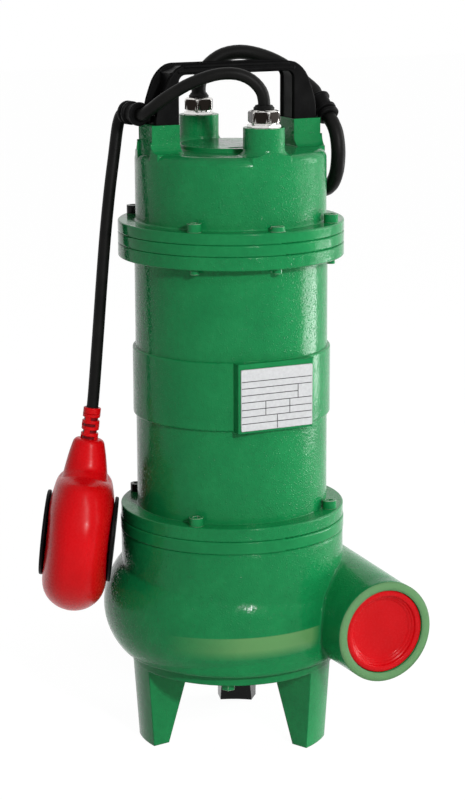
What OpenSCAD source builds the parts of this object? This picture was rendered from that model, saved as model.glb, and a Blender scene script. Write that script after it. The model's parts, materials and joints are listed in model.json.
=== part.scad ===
// Submersible sump pump: cast motor housing, spiral pump chamber on three legs, moulded
// handle, float switch on its own lead and a mains cable put away in a round coil.
// Origin: on the floor, on the axis of the motor. +Z up, the discharge port faces -Y.

/* [Motor housing] */
// outside diameter of the motor housing
housing_d = 137; // [120:1:160]
// thickness of the cast housing wall
housing_wall = 6; // [4:0.5:10]
// height of the housing between its two flange faces
housing_h = 199.5; // [170:0.5:260]
// diameter of the bolted flanges
flange_d = 160; // [152:1:190]
// thickness of the two housing flanges
flange_t = 9.5; // [7:0.5:14]
// height of the raised band round the housing
band_h = 48.5; // [30:0.5:70]
// how far the band stands out of the housing
band_rise = 2.1; // [1:0.1:4]
// height of the band's lower edge above the lower flange face
band_z = 76.5; // [40:0.5:100]
// width of the plain nameplate
plate_w = 54.5; // [40:0.5:60]
// height of the plain nameplate
plate_h = 43; // [30:0.5:46]
// thickness of the nameplate
plate_t = 0.8; // [0.5:0.1:1.5]

/* [Motor] */
// diameter of the rotor
rotor_d = 71.2; // [60:0.2:80]
// radial air gap between the rotor and the stator
air_gap = 0.4; // [0.3:0.1:1]
// length of the stator and rotor stacks
stack_l = 90; // [60:1:110]
// height of the stator stack above the lower flange face
stack_z = 62; // [55:1:80]
// number of stator slots
slots = 24; // [12:6:36]
// depth of a stator slot
slot_depth = 13; // [10:0.5:13.5]
// width of a stator slot
slot_w = 6; // [4:0.2:6.4]
// height of the winding heads over and under the stack
winding_h = 18; // [12:1:22]
// height of the rotor's end rings
end_ring_h = 5; // [3:0.5:8]
// width of the rotor's end rings
end_ring_w = 10; // [8:0.5:11]
// height of the fan blades over the end rings
blade_h = 8; // [4:0.5:12]
// diameter of the shaft through the rotor
shaft_d = 24; // [20:1:30]
// number of fan blades on each rotor end ring
fan_blades = 9; // [6:1:14]

/* [Bearings and seal] */
// bore of the lower bearing
lower_bore = 20; // [15:1:25]
// outside diameter of the lower bearing
lower_od = 47; // [42:1:52]
// width of the lower bearing
lower_w = 14; // [10:1:16]
// bore of the upper bearing
upper_bore = 15; // [12:1:20]
// outside diameter of the upper bearing
upper_od = 35; // [32:1:42]
// width of the upper bearing
upper_w = 11; // [8:1:14]
// balls in each bearing
balls = 8; // [6:1:10]
// radial play between the balls and the inner races
ball_play = 0.05; // [0.02:0.01:0.1]
// diameter of the shaft at the mechanical seal
seal_shaft_d = 17; // [14:1:19]
// outside diameter of the mechanical seal
seal_od = 32; // [28:1:36]

/* [Pump chamber] */
// height of the pump chamber casting
chamber_h = 90; // [80:0.5:110]
// radius of the spiral at its narrowest quarter
spiral_r = 88.6; // [84:0.2:100]
// growth of the spiral radius in each quarter turn
spiral_step = 7.6; // [4:0.2:10]
// wall thickness of the spiral
spiral_wall = 6; // [4:0.5:9]
// radius of the rounded belly of the spiral
belly_r = 48; // [40:1:52]
// height of the belly's widest line above the underside of the chamber
belly_z = 32; // [28:0.5:38]
// diameter of the opening that the impeller passes through
eye_d = 118; // [100:1:124]
// thickness of the seal plate between the motor and the chamber
seal_plate_t = 9; // [7:0.5:12]

/* [Impeller] */
// diameter of the vortex impeller
impeller_d = 108; // [90:1:114]
// height of the impeller with its vanes
impeller_h = 25; // [18:0.5:32]
// thickness of the impeller's back plate
impeller_plate = 5; // [4:0.5:7]
// number of curved vanes
vanes = 6; // [4:1:9]
// thickness of a vane
vane_t = 4; // [3:0.5:6]
// diameter of the impeller hub
hub_d = 30; // [26:1:36]
// diameter of the shaft end in the impeller
impeller_bore = 14; // [12:0.5:16]

/* [Discharge port] */
// diameter of the port's machined face
port_d = 73; // [70:0.5:80]
// core diameter of the port's pipe thread
port_bore = 56.7; // [40:0.1:60]
// diameter of the recess that holds the plug
plug_seat_d = 60.6; // [58:0.1:64]
// bore of the passage from the chamber to the port
throat_d = 45; // [36:0.5:52]
// depth of the recess that holds the plug
plug_seat_depth = 7.5; // [5:0.5:10]
// distance of the port face from the motor axis
port_reach = 102; // [96:1:130]
// height of the port axis above the underside of the chamber
port_z = 27.5; // [26.5:0.5:34]
// length of the thread core behind the recess
thread_l = 26; // [18:1:30]
// gap round the plug in its recess
plug_gap = 0.3; // [0.2:0.1:0.6]
// rim thickness of the plug
plug_rim = 4; // [3:0.5:6]

/* [Base] */
// height of the base ring's underside above the floor
leg_h = 58; // [50:1:80]
// thickness of the base ring
ring_t = 8; // [6:0.5:12]
// diameter of the base ring
ring_d = 148; // [144:1:152]
// diameter of the suction hole
suction_d = 52; // [40:1:56]
// angle between the rear leg and each of the others
leg_spread = 116; // [110:1:125]
// direction of the rear leg, from the front towards +X
rear_leg = 152; // [140:1:170]
// width of a leg, as an angle round the axis
leg_angle = 24; // [18:1:30]
// distance of the base screws from the axis
base_screw_r = 66; // [62:0.5:67]
// length of the base screws in the chamber casting
base_screw_l = 16; // [10:1:20]
// head height of the base screws
base_head_h = 4; // [3:0.5:6]

/* [Cover] */
// height of the cover from its seat to its top face
cover_h = 57.5; // [48:0.5:70]
// thickness of the cover flange
cover_flange_t = 8; // [6:0.5:12]
// thickness of the bearing plate under the cover
bearing_plate_t = 8; // [6:0.5:12]
// wall thickness of the cover
cover_wall = 5; // [4:0.5:8]
// radius of the cover's rounded shoulder
cover_round = 7; // [3:0.5:9]
// radius of the cast roots of the handle blocks
block_root = 8; // [3:0.5:9]
// radius of the cast roots of the gland bosses
boss_root = 5; // [2:0.5:6]
// height of the round centre of the cover above its top face
crown_h = 3; // [1:0.5:5]
// height of the handle blocks above the cover's top face
block_h = 19; // [12:0.5:26]
// width of a handle block
block_w = 21; // [18:0.5:24]
// depth of a handle block
block_d = 23; // [20:0.5:26]
// distance of a block's outer face from the axis
block_x = 65; // [60:0.5:66]
// distance of the cable glands from the axis
gland_y = 53; // [50:0.5:53]
// diameter of a gland boss
boss_d = 28.5; // [25:0.5:29]

/* [Handle] */
// height of the handle above its blocks
handle_h = 40; // [34:0.5:60]
// width of the handle over its feet
handle_w = 122; // [118:0.5:126]
// width of the handle over its top bar
handle_top_w = 105; // [92:0.5:112]
// depth of the handle
handle_d = 23; // [20:0.5:26]
// thickness of the grip bar
grip_t = 8; // [6:0.5:12]
// width of a handle leg at its foot
handle_leg_w = 16; // [14:0.5:18]
// rib thickness at the sides of the open leg channels
channel_rib = 3.5; // [2.5:0.5:5]

/* [Fasteners] */
// thread diameter of the flange screws
screw_d = 6; // [5:1:8]
// head diameter of the flange screws
head_d = 10; // [8:0.5:13]
// head height of the flange screws
head_h = 6; // [4:0.5:8]
// radius of the flange screw circle
bolt_r = 74; // [72:0.5:75]
// length of the screws in the top flanges
top_screw_l = 29; // [26:1:40]
// length of the screws in the lower flanges
low_screw_l = 29; // [26:1:34]
// gap round a screw in a drilled hole
hole_gap = 0.2; // [0.1:0.05:0.5]

/* [Cables and clips] */
// diameter of the mains cable
power_d = 10.4; // [8:0.1:12]
// diameter of the float lead
float_d = 8.4; // [6:0.1:10]
// width across flats of the gland nuts
nut_af = 19.5; // [18:0.5:22]
// outside diameter of a cable clip
clip_d = 16.4; // [14:0.2:18]
// length of a cable clip
clip_l = 18; // [14:0.5:22]
// gap round a cable in its clip and its gland seal
cable_gap = 0.35; // [0.3:0.05:0.8]

/* [Float] */
// diameter of the round float body
float_body_d = 108; // [96:1:116]
// thickness of the float body between its flat faces
float_body_t = 46; // [40:1:52]
// wall thickness of the float body
float_wall = 2.5; // [2:0.1:4]
// length of the float lead below its clip
float_drop = 209; // [180:1:260]
// length of the ribbed sleeve on the float lead
relief_l = 27; // [20:1:40]
// diameter of the ribbed sleeve on the float lead
relief_d = 13.4; // [12:0.1:15]
// gap between the hanging float and the castings beside it
float_gap = 0.5; // [0.4:0.1:8]
// direction that the float's flat faces are turned to
float_turn = -25; // [-60:1:60]
// diameter of the float's side caps
cap_d = 61; // [50:1:62]
// thickness of the float's side caps
cap_t = 2.5; // [1.5:0.1:4]

/* [Hidden] */
$fn = 64;
eps = 0.01;
play = 0.05;

// levels, from the floor up
ring_z = leg_h;
chamber_z = ring_z + ring_t;
seal_z = chamber_z + chamber_h;
housing_z = seal_z + seal_plate_t;
bearing_z = housing_z + housing_h;
cover_z = bearing_z + bearing_plate_t;
cover_top = cover_z + cover_h;
block_top = cover_top + block_h;
handle_top = block_top + handle_h;

// radii
housing_r = housing_d / 2;
bore_r = housing_r - housing_wall;
flange_r = flange_d / 2;
ring_r = ring_d / 2;
cover_r = housing_r - 1;

// bearings: the lower one sits in the seal plate's hub, the upper one in the bearing plate
lower_z = housing_z + 12;
upper_z = bearing_z - 5;
hub_r = lower_od / 2 + 6.5;
lower_hub_h = lower_z + lower_w - housing_z + 2;
upper_hub_r = upper_od / 2 + 6;
upper_hub_h = 9;
lip_t = 4;
o_ring_d = 3;
groove_d = o_ring_d + 0.5;

// mechanical seal
seat_t = 6;
seat_z = seal_z + 0.5;
head_z = seat_z + seat_t + 0.1;
seal_head_h = 9;

// impeller and chamber
impeller_gap = 1.5;
impeller_top = seal_z - impeller_gap;
impeller_z = impeller_top - impeller_h;
nose_t = 9;
port_x = spiral_r + 2.5 * spiral_step - port_d / 2;
port_axis_z = chamber_z + port_z;
plug_face_z = 1;
bore_run = 70;
shoulder_r = belly_r - 8;
shoulder_in = flange_r - 8;
shoulder_z = belly_z - 6;

// quarter turns of the spiral: centre, radius and starting angle
function quarter(i) = [
    [[-0.5, 0.5], [0.5, 0.5], [0.5, -0.5]][i] * spiral_step,
    spiral_r + i * spiral_step,
    180 - 90 * i
];

// legs and base screws, as directions from the front (-Y) towards +X
leg_dirs = [rear_leg, rear_leg + leg_spread, rear_leg - leg_spread];
leg_top_in = 38;
leg_foot_in = 57;
leg_foot_out = ring_r - 4;
base_screw_dirs = [rear_leg + 180, rear_leg + leg_spread / 2, rear_leg - leg_spread / 2];

// cable clips on the handle: start, direction round Z and dip
clip_z = block_top + 6;
float_clip = [-handle_w / 2 - 8.5, -2, clip_z + 1.5];
float_clip_turn = 8;
power_clip = [handle_w / 2 + 11, 6, clip_z + 6];
power_clip_turn = 8;
power_clip_dip = 42;
clip_foot = handle_w / 2;

// float: hung from a ball at the mouth of its clip
float_dir = [-sin(float_clip_turn), cos(float_clip_turn), 0];
float_pivot = float_clip + (clip_l + float_d / 2 + 0.4) * float_dir;
neck_s = float_drop + relief_l - 3;
neck_l = 39;
body_s = neck_s + neck_l + float_body_d / 2 - 23;
neck_run = body_s - neck_s + 2;

// lean that keeps the hanging float clear of the flanges and of the spiral beside it; s runs
// down the lead, reach is the castings' radius at that level
face_turn = -float_turn;
float_side = float_body_t / 2 + cap_t + float_gap;
function lean_beside(s, reach) =
    asin(((reach + float_side - float_pivot[1] * sin(face_turn)) / cos(face_turn) + float_pivot[0]) / s);
function spiral_reach(z) =
    let (off = z - chamber_z - belly_z)
    spiral_r + spiral_step * (1 + (sin(face_turn) - cos(face_turn)) / 2) - belly_r
        + sqrt(max(belly_r * belly_r - off * off, 0));
body_z = float_pivot[2] - body_s;
beside_z = max(body_z - cap_d / 2, min(body_z + cap_d / 2, chamber_z + belly_z));
float_lean = max(
    lean_beside(float_pivot[2] - housing_z - flange_t, flange_r + 0.5),
    lean_beside(float_pivot[2] - housing_z, flange_r + 1),
    lean_beside(float_pivot[2] - beside_z, spiral_reach(beside_z))
);
echo("lean of the hanging float, in degrees", float_lean);

// glands
gland_z = block_top;
gland_flange_t = 3;
gland_thread_d = 16;
gland_seat = gland_z + gland_flange_t + 4;
nut_h = 8.5;
nut_z = gland_z + gland_flange_t + 0.2;
seal_top = nut_z + nut_h + 3.5;

// routes of the cables: first over their gland, then past their clip, then down to the floor
float_rise = [
    [0, 0, gland_flange_t + 4], [0, 0, 13], [0, 0, 18], [-2, 0.5, 25], [-8, 3, 32], [-17, 7, 36],
    [-28, 12, 36]
];
float_reach = [[31.5, -34, 25.5], [22.5, -28, 21], [14.5, -23, 15.5], [8.5, -18, 10.5], [3.5, -11.5, 4.5]];
float_route = concat(
    [for (p = float_rise) [p[0], p[1] - gland_y, p[2] + gland_z]],
    [for (p = float_reach) float_clip + p]
);
float_tail = [
    float_clip - 3 * float_dir, float_clip + 4 * float_dir, float_clip + (clip_l - 0.3) * float_dir
];
power_rise = [
    [0, 0, gland_flange_t + 4], [0, 0, 14], [0, 0, 20], [2, -1, 28], [8, -3, 36], [17, -6, 42], [28, -11, 44]
];
power_reach = [[-33, 30, 30], [-23, 22, 25.5], [-14, 16, 19], [-7, 11.5, 12]];
power_route = concat(
    [for (p = power_rise) [p[0], p[1] + gland_y, p[2] + gland_z]],
    [for (p = power_reach) power_clip + p]
);
power_dir = [sin(power_clip_turn) * cos(power_clip_dip), -cos(power_clip_turn) * cos(power_clip_dip),
    -sin(power_clip_dip)];
power_through = [for (s = [-8, -2, clip_l / 2, clip_l + 2, clip_l + 7]) power_clip + s * power_dir];
power_loop = [
    [3, -22.5, -22.5], [3.2, -25, -31], [3.2, -25.5, -40], [3.4, -23, -50], [3.8, -17, -58], [4.5, -9, -63],
    [5.5, 1, -66], [6, 12, -68.5], [6.5, 23, -72], [6, 33, -77.5], [5.5, 43, -86], [6.5, 51, -99],
    [9, 56, -116], [14, 59, -146]
];
power_fall = concat(
    [for (p = power_loop) power_clip + p],
    [
        [90, 66, 280], [95, 66, 230], [101, 66, 180], [109, 66, 125], [117, 66, 85], [122, 67, 56],
        [125, 70, 36], [129.5, 79, 18], [135, 90, 8]
    ]
);

// coil of the spare mains cable, on the floor behind the pump
coil_centre = [91, 173];
coil_start = -25.4;
coil_r_mid = 60;
coil_turns = 2.5;
coil_layers = 4;
coil_pitch = power_d + 2.2;
coil_lift = power_d + 0.6;
coil_steps = 24;
coil_sides = 6;
coil_r_in = coil_r_mid - coil_turns * coil_pitch / 2;
coil_r_out = coil_r_mid + coil_turns * coil_pitch / 2;
coil_period = coil_turns + 0.5;
coil_total = coil_layers * coil_period - 1.1;
floor_gap = 0.1;
tube_sides = 10;
end_l = 8;
core_l = 22;
core_d = 3;
core_tip = 6;

function coil_layer(t) = min(floor(t / coil_period), coil_layers - 1);
function coil_part(t) = t - coil_layer(t) * coil_period;
function coil_radius(t) =
    let (share = min(coil_part(t) / coil_turns, 1))
    coil_layer(t) % 2 == 0 ? coil_r_out - share * (coil_r_out - coil_r_in)
        : coil_r_in + share * (coil_r_out - coil_r_in);
function coil_height(t) =
    power_d / 2 + floor_gap + coil_lift * (coil_layer(t) + max(coil_part(t) - coil_turns, 0) / 0.5);
function coil_point(t) =
    let (a = coil_start + 360 * t, r = coil_radius(t))
    [coil_centre[0] + r * cos(a), coil_centre[1] + r * sin(a), coil_height(t)];
coil_entry = [sin(-coil_start), cos(coil_start), 0];
coil_mouth = coil_point(0) - 4 * coil_entry;
coil_path = concat([coil_mouth], [for (i = [0 : coil_total * coil_steps]) coil_point(i / coil_steps)]);
power_points = concat(power_route, power_through, power_fall,
    [coil_mouth - 30 * coil_entry, coil_mouth - 16 * coil_entry, coil_mouth - 8 * coil_entry,
        coil_mouth - 0.02 * coil_entry]);

// smooth curve through a list of points, with a ring every so often
function spline(p, i, t) =
    let (a = p[max(i - 1, 0)], b = p[i], c = p[i + 1], d = p[min(i + 2, len(p) - 1)])
    0.5 * (2 * b + (c - a) * t + (2 * a - 5 * b + 4 * c - d) * t * t
        + (3 * b - 3 * c + d - a) * t * t * t);
function smooth(p, parts) = concat(
    [for (i = [0 : len(p) - 2], k = [0 : parts - 1]) spline(p, i, k / parts)],
    [p[len(p) - 1]]
);
function unit(v) = v / norm(v);
function tangents(p) = [for (i = [0 : len(p) - 1])
    unit(p[min(i + 1, len(p) - 1)] - p[max(i - 1, 0)])];
function across(v) = unit(abs(v[2]) > 0.9 ? cross(v, [1, 0, 0]) : cross(v, [0, 0, 1]));
function carried(v, n) = unit(v - (v * n) * n);
function sides_of(t, i) = i == 0 ? [across(t[0])]
    : let (before = sides_of(t, i - 1)) concat(before, [carried(before[i - 1], t[i])]);

// one unbroken tube round a path, closed by a flat end at each end
module tube(path, d, sides = tube_sides) {
    t = tangents(path);
    s = sides_of(t, len(path) - 1);
    rings = [for (i = [0 : len(path) - 1], k = [0 : sides - 1])
        path[i] + d / 2 * (cos(360 * k / sides) * s[i] + sin(360 * k / sides) * cross(t[i], s[i]))];
    n = len(path);
    walls = [for (i = [0 : n - 2], k = [0 : sides - 1], half = [0, 1])
        let (a = i * sides + k, b = i * sides + (k + 1) % sides)
        half == 0 ? [a, a + sides, b] : [b, a + sides, b + sides]];
    first = [for (k = [1 : sides - 2]) [0, k, k + 1]];
    last = [for (k = [1 : sides - 2]) [(n - 1) * sides, (n - 1) * sides + k + 1, (n - 1) * sides + k]];
    polyhedron(points = rings, faces = concat(walls, first, last));
}

// least distance between parts of the coil's path that are over half a turn apart
coil_gap = min([for (i = [0 : 4 : len(coil_path) - 1], j = [i + coil_steps / 2 : len(coil_path) - 1])
    norm(coil_path[i] - coil_path[j])]) - power_d;
echo("least gap of the coil to itself", coil_gap);

// --- shared shapes -----------------------------------------------------------------

module place_at(dirs, r, z) {
    for (a = dirs)
        rotate([0, 0, a - 90])
            translate([r, 0, z])
                children();
}

// profile of the material that rounds an inner corner, quarter circle of radius r
module corner_fill(r) {
    difference() {
        square(r);
        translate([r, r])
            circle(r);
    }
}

// disc with rounded rims
module soft_disc(d, h, r = 1) {
    rotate_extrude() {
        square([d / 2 - r, h]);
        translate([0, r])
            square([d / 2, h - 2 * r]);
        for (z = [r, h - r])
            translate([d / 2 - r, z])
                circle(r, $fn = 32);
    }
}

module ring_shape(outer_d, inner_d, h) {
    rotate_extrude()
        translate([inner_d / 2, 0])
            square([(outer_d - inner_d) / 2, h]);
}

module o_ring(d, cord) {
    rotate_extrude()
        translate([d / 2, 0])
            circle(d = cord);
}

// socket head screw, head up, seat at z = 0
module cap_screw(d, l, hd, hh) {
    translate([0, 0, -l])
        cylinder(d = d, h = l + eps);
    difference() {
        cylinder(d = hd, h = hh);
        translate([0, 0, hh * 0.45])
            cylinder(d = d, h = hh, $fn = 6);
    }
}

flange_dirs = [-135, -45, 45, 135];

module flange_holes(z, h, dirs = flange_dirs) {
    place_at(dirs, bolt_r, z - 1)
        cylinder(d = screw_d + 2 * hole_gap, h = h + 2);
}

// --- base ---------------------------------------------------------------------------

module leg() {
    rotate([0, 0, -leg_angle / 2])
        rotate_extrude(angle = leg_angle)
            polygon([
                [leg_foot_in, 0], [leg_foot_out, 0], [ring_r, ring_z + 2], [leg_top_in, ring_z + 2],
                [leg_top_in, ring_z - 2]
            ]);
}

module base_stand() {
    color("seagreen")
        difference() {
            union() {
                translate([0, 0, ring_z])
                    cylinder(r = ring_r, h = ring_t);
                translate([0, 0, ring_z - 4])
                    cylinder(d = suction_d + 14, h = ring_t + 4);
                place_at(leg_dirs, 0, 0)
                    leg();
                place_at(base_screw_dirs, base_screw_r - 1, ring_z - 1)
                    cylinder(d = head_d + 3, h = ring_t);
            }
            translate([0, 0, ring_z - 10])
                cylinder(d = suction_d, h = ring_t + 20);
            translate([0, 0, ring_z - 4 - eps])
                cylinder(d1 = suction_d + 8, d2 = suction_d - eps, h = 4);
            place_at(base_screw_dirs, base_screw_r, ring_z - 5)
                cylinder(d = screw_d + 2 * hole_gap, h = ring_t + 10);
        }
}

module base_screws() {
    color("silver")
        place_at(base_screw_dirs, base_screw_r, ring_z - 1)
            rotate([180, 0, 0]) {
                translate([0, 0, -base_screw_l - ring_t])
                    cylinder(d = screw_d, h = base_screw_l + ring_t);
                cylinder(d = head_d, h = base_head_h, $fn = 6);
            }
}

// --- pump chamber --------------------------------------------------------------------

// section of the spiral: a round belly about an axis
module belly(r, belly) {
    intersection() {
        translate([r - belly, belly_z])
            circle(belly, $fn = 96);
        translate([0, 0])
            square([r + 1, chamber_h]);
    }
    translate([0, max(belly_z - belly, 0)])
        square([r - belly, min(belly_z + belly, chamber_h) - max(belly_z - belly, 0)]);
}

// three quarter turns of growing radius; the first runs on by an angle into the port's neck
module spiral_quarters(wall, run_on) {
    for (i = [0 : 2])
        translate([quarter(i)[0][0], quarter(i)[0][1], 0])
            rotate([0, 0, quarter(i)[2]])
                rotate_extrude(angle = i == 0 ? 90 + run_on : 90)
                    belly(quarter(i)[1] - wall, belly_r - wall);
}

// shoulder over the belly, at one height all round, that keeps the spiral under the flange
module shoulder(wall) {
    r = shoulder_r - wall;
    rotate_extrude() {
        square([shoulder_in + r, shoulder_z]);
        square([shoulder_in, chamber_h]);
        translate([shoulder_in, shoulder_z])
            circle(r, $fn = 96);
    }
}

neck_back = -spiral_step / 2;

module neck_outside() {
    rise = 3;
    inward = 2;
    run = port_reach - 6;
    translate([port_x, neck_back, port_axis_z])
        rotate([90, 0, 0])
            cylinder(d = port_d, h = port_reach + neck_back);
    // root of the neck, wider and higher where it leaves the spiral
    translate([port_x - inward, neck_back + 2, port_axis_z + rise])
        rotate([90 + atan(rise / run), 0, atan(inward / run)])
            cylinder(r1 = port_d / 2 + 2.5, r2 = port_d / 2 - 0.4, h = run);
}

module volute_casing() {
    chamber_r = eye_d / 2 + 7;
    inner_top = belly_z + belly_r - spiral_wall;
    color("seagreen")
        difference() {
            union() {
                translate([0, 0, chamber_z])
                    intersection() {
                        spiral_quarters(0, 34);
                        shoulder(0);
                    }
                translate([0, 0, chamber_z])
                    soft_disc(flange_d + 1, chamber_h, 1);
                neck_outside();
            }
            // chamber, narrowed to the eye at the top and open to the base plate
            translate([0, 0, chamber_z + spiral_wall]) {
                intersection() {
                    translate([0, 0, -spiral_wall])
                        spiral_quarters(spiral_wall, 16);
                    translate([0, 0, -spiral_wall])
                        shoulder(spiral_wall);
                    cylinder(r = spiral_r * 2, h = inner_top - spiral_wall);
                }
                cylinder(r = chamber_r, h = inner_top - spiral_wall);
            }
            translate([0, 0, chamber_z - 1])
                cylinder(d = eye_d, h = chamber_h + 2);
            // passage to the port, its thread core and the seat of the plug
            translate([port_x + 2, neck_back + 8, port_axis_z + 3])
                rotate([90, 0, 0])
                    cylinder(d = throat_d, h = port_reach - bore_run + 20);
            translate([port_x, bore_run - port_reach, port_axis_z])
                rotate([90, 0, 0])
                    cylinder(d = port_bore + 2.4, h = bore_run - plug_seat_depth - thread_l);
            translate([port_x, bore_run - port_reach, port_axis_z])
                rotate([90, 0, 0])
                    cylinder(d = port_bore, h = bore_run + 1);
            translate([port_x, -port_reach + plug_seat_depth, port_axis_z])
                rotate([90, 0, 0])
                    cylinder(d = plug_seat_d, h = plug_seat_depth + 1);
            // flat seat for the base ring, and the groove of the O-ring
            translate([0, 0, chamber_z - 20])
                cylinder(r = ring_r + 2, h = 20);
            translate([0, 0, seal_z])
                o_ring(eye_d + 8, groove_d);
            translate([0, 0, seal_z - low_screw_l + seal_plate_t + flange_t - 2])
                place_at(flange_dirs, bolt_r, 0)
                    cylinder(d = screw_d, h = low_screw_l);
            place_at(base_screw_dirs, base_screw_r, chamber_z - 1)
                cylinder(d = screw_d, h = base_screw_l + 1);
        }
}

module volute_o_ring() {
    color("black")
        translate([0, 0, seal_z])
            o_ring(eye_d + 8, o_ring_d);
}

module seal_plate() {
    color("seagreen")
        difference() {
            union() {
                translate([0, 0, seal_z])
                    soft_disc(flange_d + 2, seal_plate_t, 1.2);
                translate([0, 0, seal_z])
                    cylinder(r = hub_r, h = lower_hub_h + seal_plate_t);
                translate([0, 0, housing_z])
                    cylinder(r = bore_r - play, h = 4);
            }
            // bearing seat, lip seal seat, mechanical seal pocket
            translate([0, 0, lower_z])
                cylinder(d = lower_od + 2 * play, h = 40);
            translate([0, 0, seal_z - 1])
                cylinder(d = seal_od + 2 * play, h = lower_z - lip_t - seal_z + 1 - 1);
            translate([0, 0, seal_z])
                cylinder(d = seal_shaft_d + 16, h = lower_z - seal_z + 1);
            translate([0, 0, seal_z])
                o_ring(eye_d + 8, groove_d);
            translate([0, 0, housing_z + 2])
                ring_shape(bore_r * 2 + 2, hub_r * 2 + 20, 10);
            flange_holes(seal_z, seal_plate_t);
        }
}

module lower_flange_screws() {
    color("seagreen")
        place_at(flange_dirs, bolt_r, housing_z + flange_t)
            cap_screw(screw_d - 2 * play, low_screw_l, head_d, head_h);
}

// --- motor housing ---------------------------------------------------------------------

module motor_casing() {
    pad_y = housing_r + band_rise + 1.9;
    pad_w = plate_w + 3.5;
    fillet = 2;
    color("seagreen")
        difference() {
            union() {
                translate([0, 0, housing_z])
                    cylinder(r = housing_r, h = housing_h);
                translate([0, 0, housing_z])
                    soft_disc(flange_d + 1, flange_t, 1);
                translate([0, 0, bearing_z - flange_t])
                    soft_disc(flange_d, flange_t, 1);
                rotate_extrude()
                    translate([housing_r - eps, bearing_z - flange_t + eps])
                        mirror([0, 1])
                            corner_fill(fillet);
                translate([0, 0, housing_z + band_z])
                    soft_disc(housing_d + 2 * band_rise, band_h, 1.2);
                intersection() {
                    translate([-pad_w / 2, -pad_y, housing_z + band_z])
                        cube([pad_w, pad_y - housing_r / 2, band_h]);
                    translate([0, 0, housing_z + band_z])
                        cylinder(r = pad_y + 5, h = band_h);
                }
            }
            translate([0, 0, housing_z - 1])
                cylinder(r = bore_r, h = housing_h + 2);
            flange_holes(housing_z, flange_t);
            flange_holes(bearing_z - flange_t, flange_t);
            flange_holes(bearing_z - flange_t, flange_t, [0]);
        }
}

module nameplate() {
    pad_y = housing_r + band_rise + 1.9;
    corner = 2;
    color("whitesmoke")
        translate([0, -pad_y, housing_z + band_z + band_h / 2 - 1])
            rotate([90, 0, 0])
                linear_extrude(plate_t) {
                    square([plate_w, plate_h - 2 * corner], center = true);
                    square([plate_w - 2 * corner, plate_h], center = true);
                    for (x = [-1, 1], z = [-1, 1])
                        translate([x * (plate_w / 2 - corner), z * (plate_h / 2 - corner)])
                            circle(corner);
                }
}

// --- motor -------------------------------------------------------------------------------

stator_in = rotor_d / 2 + air_gap;
slot_in = stator_in + 3;
slot_out = slot_in + slot_depth;

module slot_shape(w, inset = 0) {
    first = slot_in + inset + w / 2;
    second = slot_out - inset - w / 2;
    for (x = [first, second])
        translate([x, 0])
            circle(d = w, $fn = 24);
    translate([first, -w / 2])
        square([second - first, w]);
}

module stator_core() {
    color("dimgray")
        translate([0, 0, housing_z + stack_z])
            linear_extrude(stack_l)
                difference() {
                    circle(bore_r - play);
                    circle(stator_in, $fn = 96);
                    for (i = [0 : slots - 1])
                        rotate(i * 360 / slots) {
                            slot_shape(slot_w);
                            translate([stator_in - 1, -1])
                                square([5, 2]);
                        }
                }
}

module stator_windings() {
    head_w = slot_depth + 2;
    soft = 3;
    mid = (slot_in + slot_out) / 2;
    color("peru") {
        translate([0, 0, housing_z + stack_z - 3])
            linear_extrude(stack_l + 6)
                for (i = [0 : slots - 1])
                    rotate(i * 360 / slots)
                        slot_shape(slot_w - 1, 0.5);
        for (z = [-winding_h - 1, stack_l + 1])
            translate([0, 0, housing_z + stack_z + z])
                rotate_extrude()
                    translate([mid - head_w / 2, 0]) {
                        translate([0, soft])
                            square([head_w, winding_h - 2 * soft]);
                        translate([soft, 0])
                            square([head_w - 2 * soft, winding_h]);
                        for (x = [soft, head_w - soft], y = [soft, winding_h - soft])
                            translate([x, y])
                                circle(soft);
                    }
    }
}

module rotor_core() {
    color("gray")
        translate([0, 0, housing_z + stack_z])
            difference() {
                cylinder(d = rotor_d, h = stack_l, $fn = 96);
                translate([0, 0, -1])
                    cylinder(d = shaft_d + 2 * play, h = stack_l + 2);
            }
}

module rotor_end_rings() {
    blade = [end_ring_w - 3, 3, blade_h + 1];
    color("lightgray")
        for (end = [0, 1])
            translate([0, 0, housing_z + stack_z + end * stack_l])
                mirror([0, 0, 1 - end]) {
                    ring_shape(rotor_d - 2, rotor_d - 2 - 2 * end_ring_w, end_ring_h);
                    for (i = [0 : fan_blades - 1])
                        rotate([0, 0, i * 360 / fan_blades])
                            translate([rotor_d / 2 - end_ring_w, -blade[1] / 2, end_ring_h - 1])
                                cube(blade);
                }
}

module shaft() {
    top = upper_z + upper_w + 1;
    color("silver")
        difference() {
            union() {
                translate([0, 0, impeller_z + nose_t + 1])
                    cylinder(d = impeller_bore, h = 60);
                translate([0, 0, impeller_top + 0.3])
                    cylinder(d = seal_shaft_d, h = lower_z - impeller_top);
                translate([0, 0, lower_z - eps])
                    cylinder(d = lower_bore, h = lower_w + 10);
                translate([0, 0, lower_z + lower_w])
                    cylinder(d = shaft_d, h = upper_z - lower_z - lower_w);
                translate([0, 0, upper_z - eps])
                    cylinder(d = upper_bore, h = top - upper_z);
            }
            translate([0, 0, impeller_z + nose_t])
                cylinder(d = 6, h = 26);
        }
}

// ball bearing rings share a ball circle and a ball size
function ball_r(bore, od) = (od - bore) / 8;
function ball_circle(bore, od) = (od + bore) / 4;

module race(bore, od, w, outer, gap) {
    rb = ball_r(bore, od);
    rc = ball_circle(bore, od);
    rotate_extrude()
        difference() {
            if (outer)
                translate([rc + rb * 0.5, 0])
                    square([od / 2 - rc - rb * 0.5, w]);
            else
                translate([bore / 2, 0])
                    square([rc - rb * 0.5 - bore / 2, w]);
            translate([rc, w / 2])
                circle(rb + gap, $fn = 48);
        }
}

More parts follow.
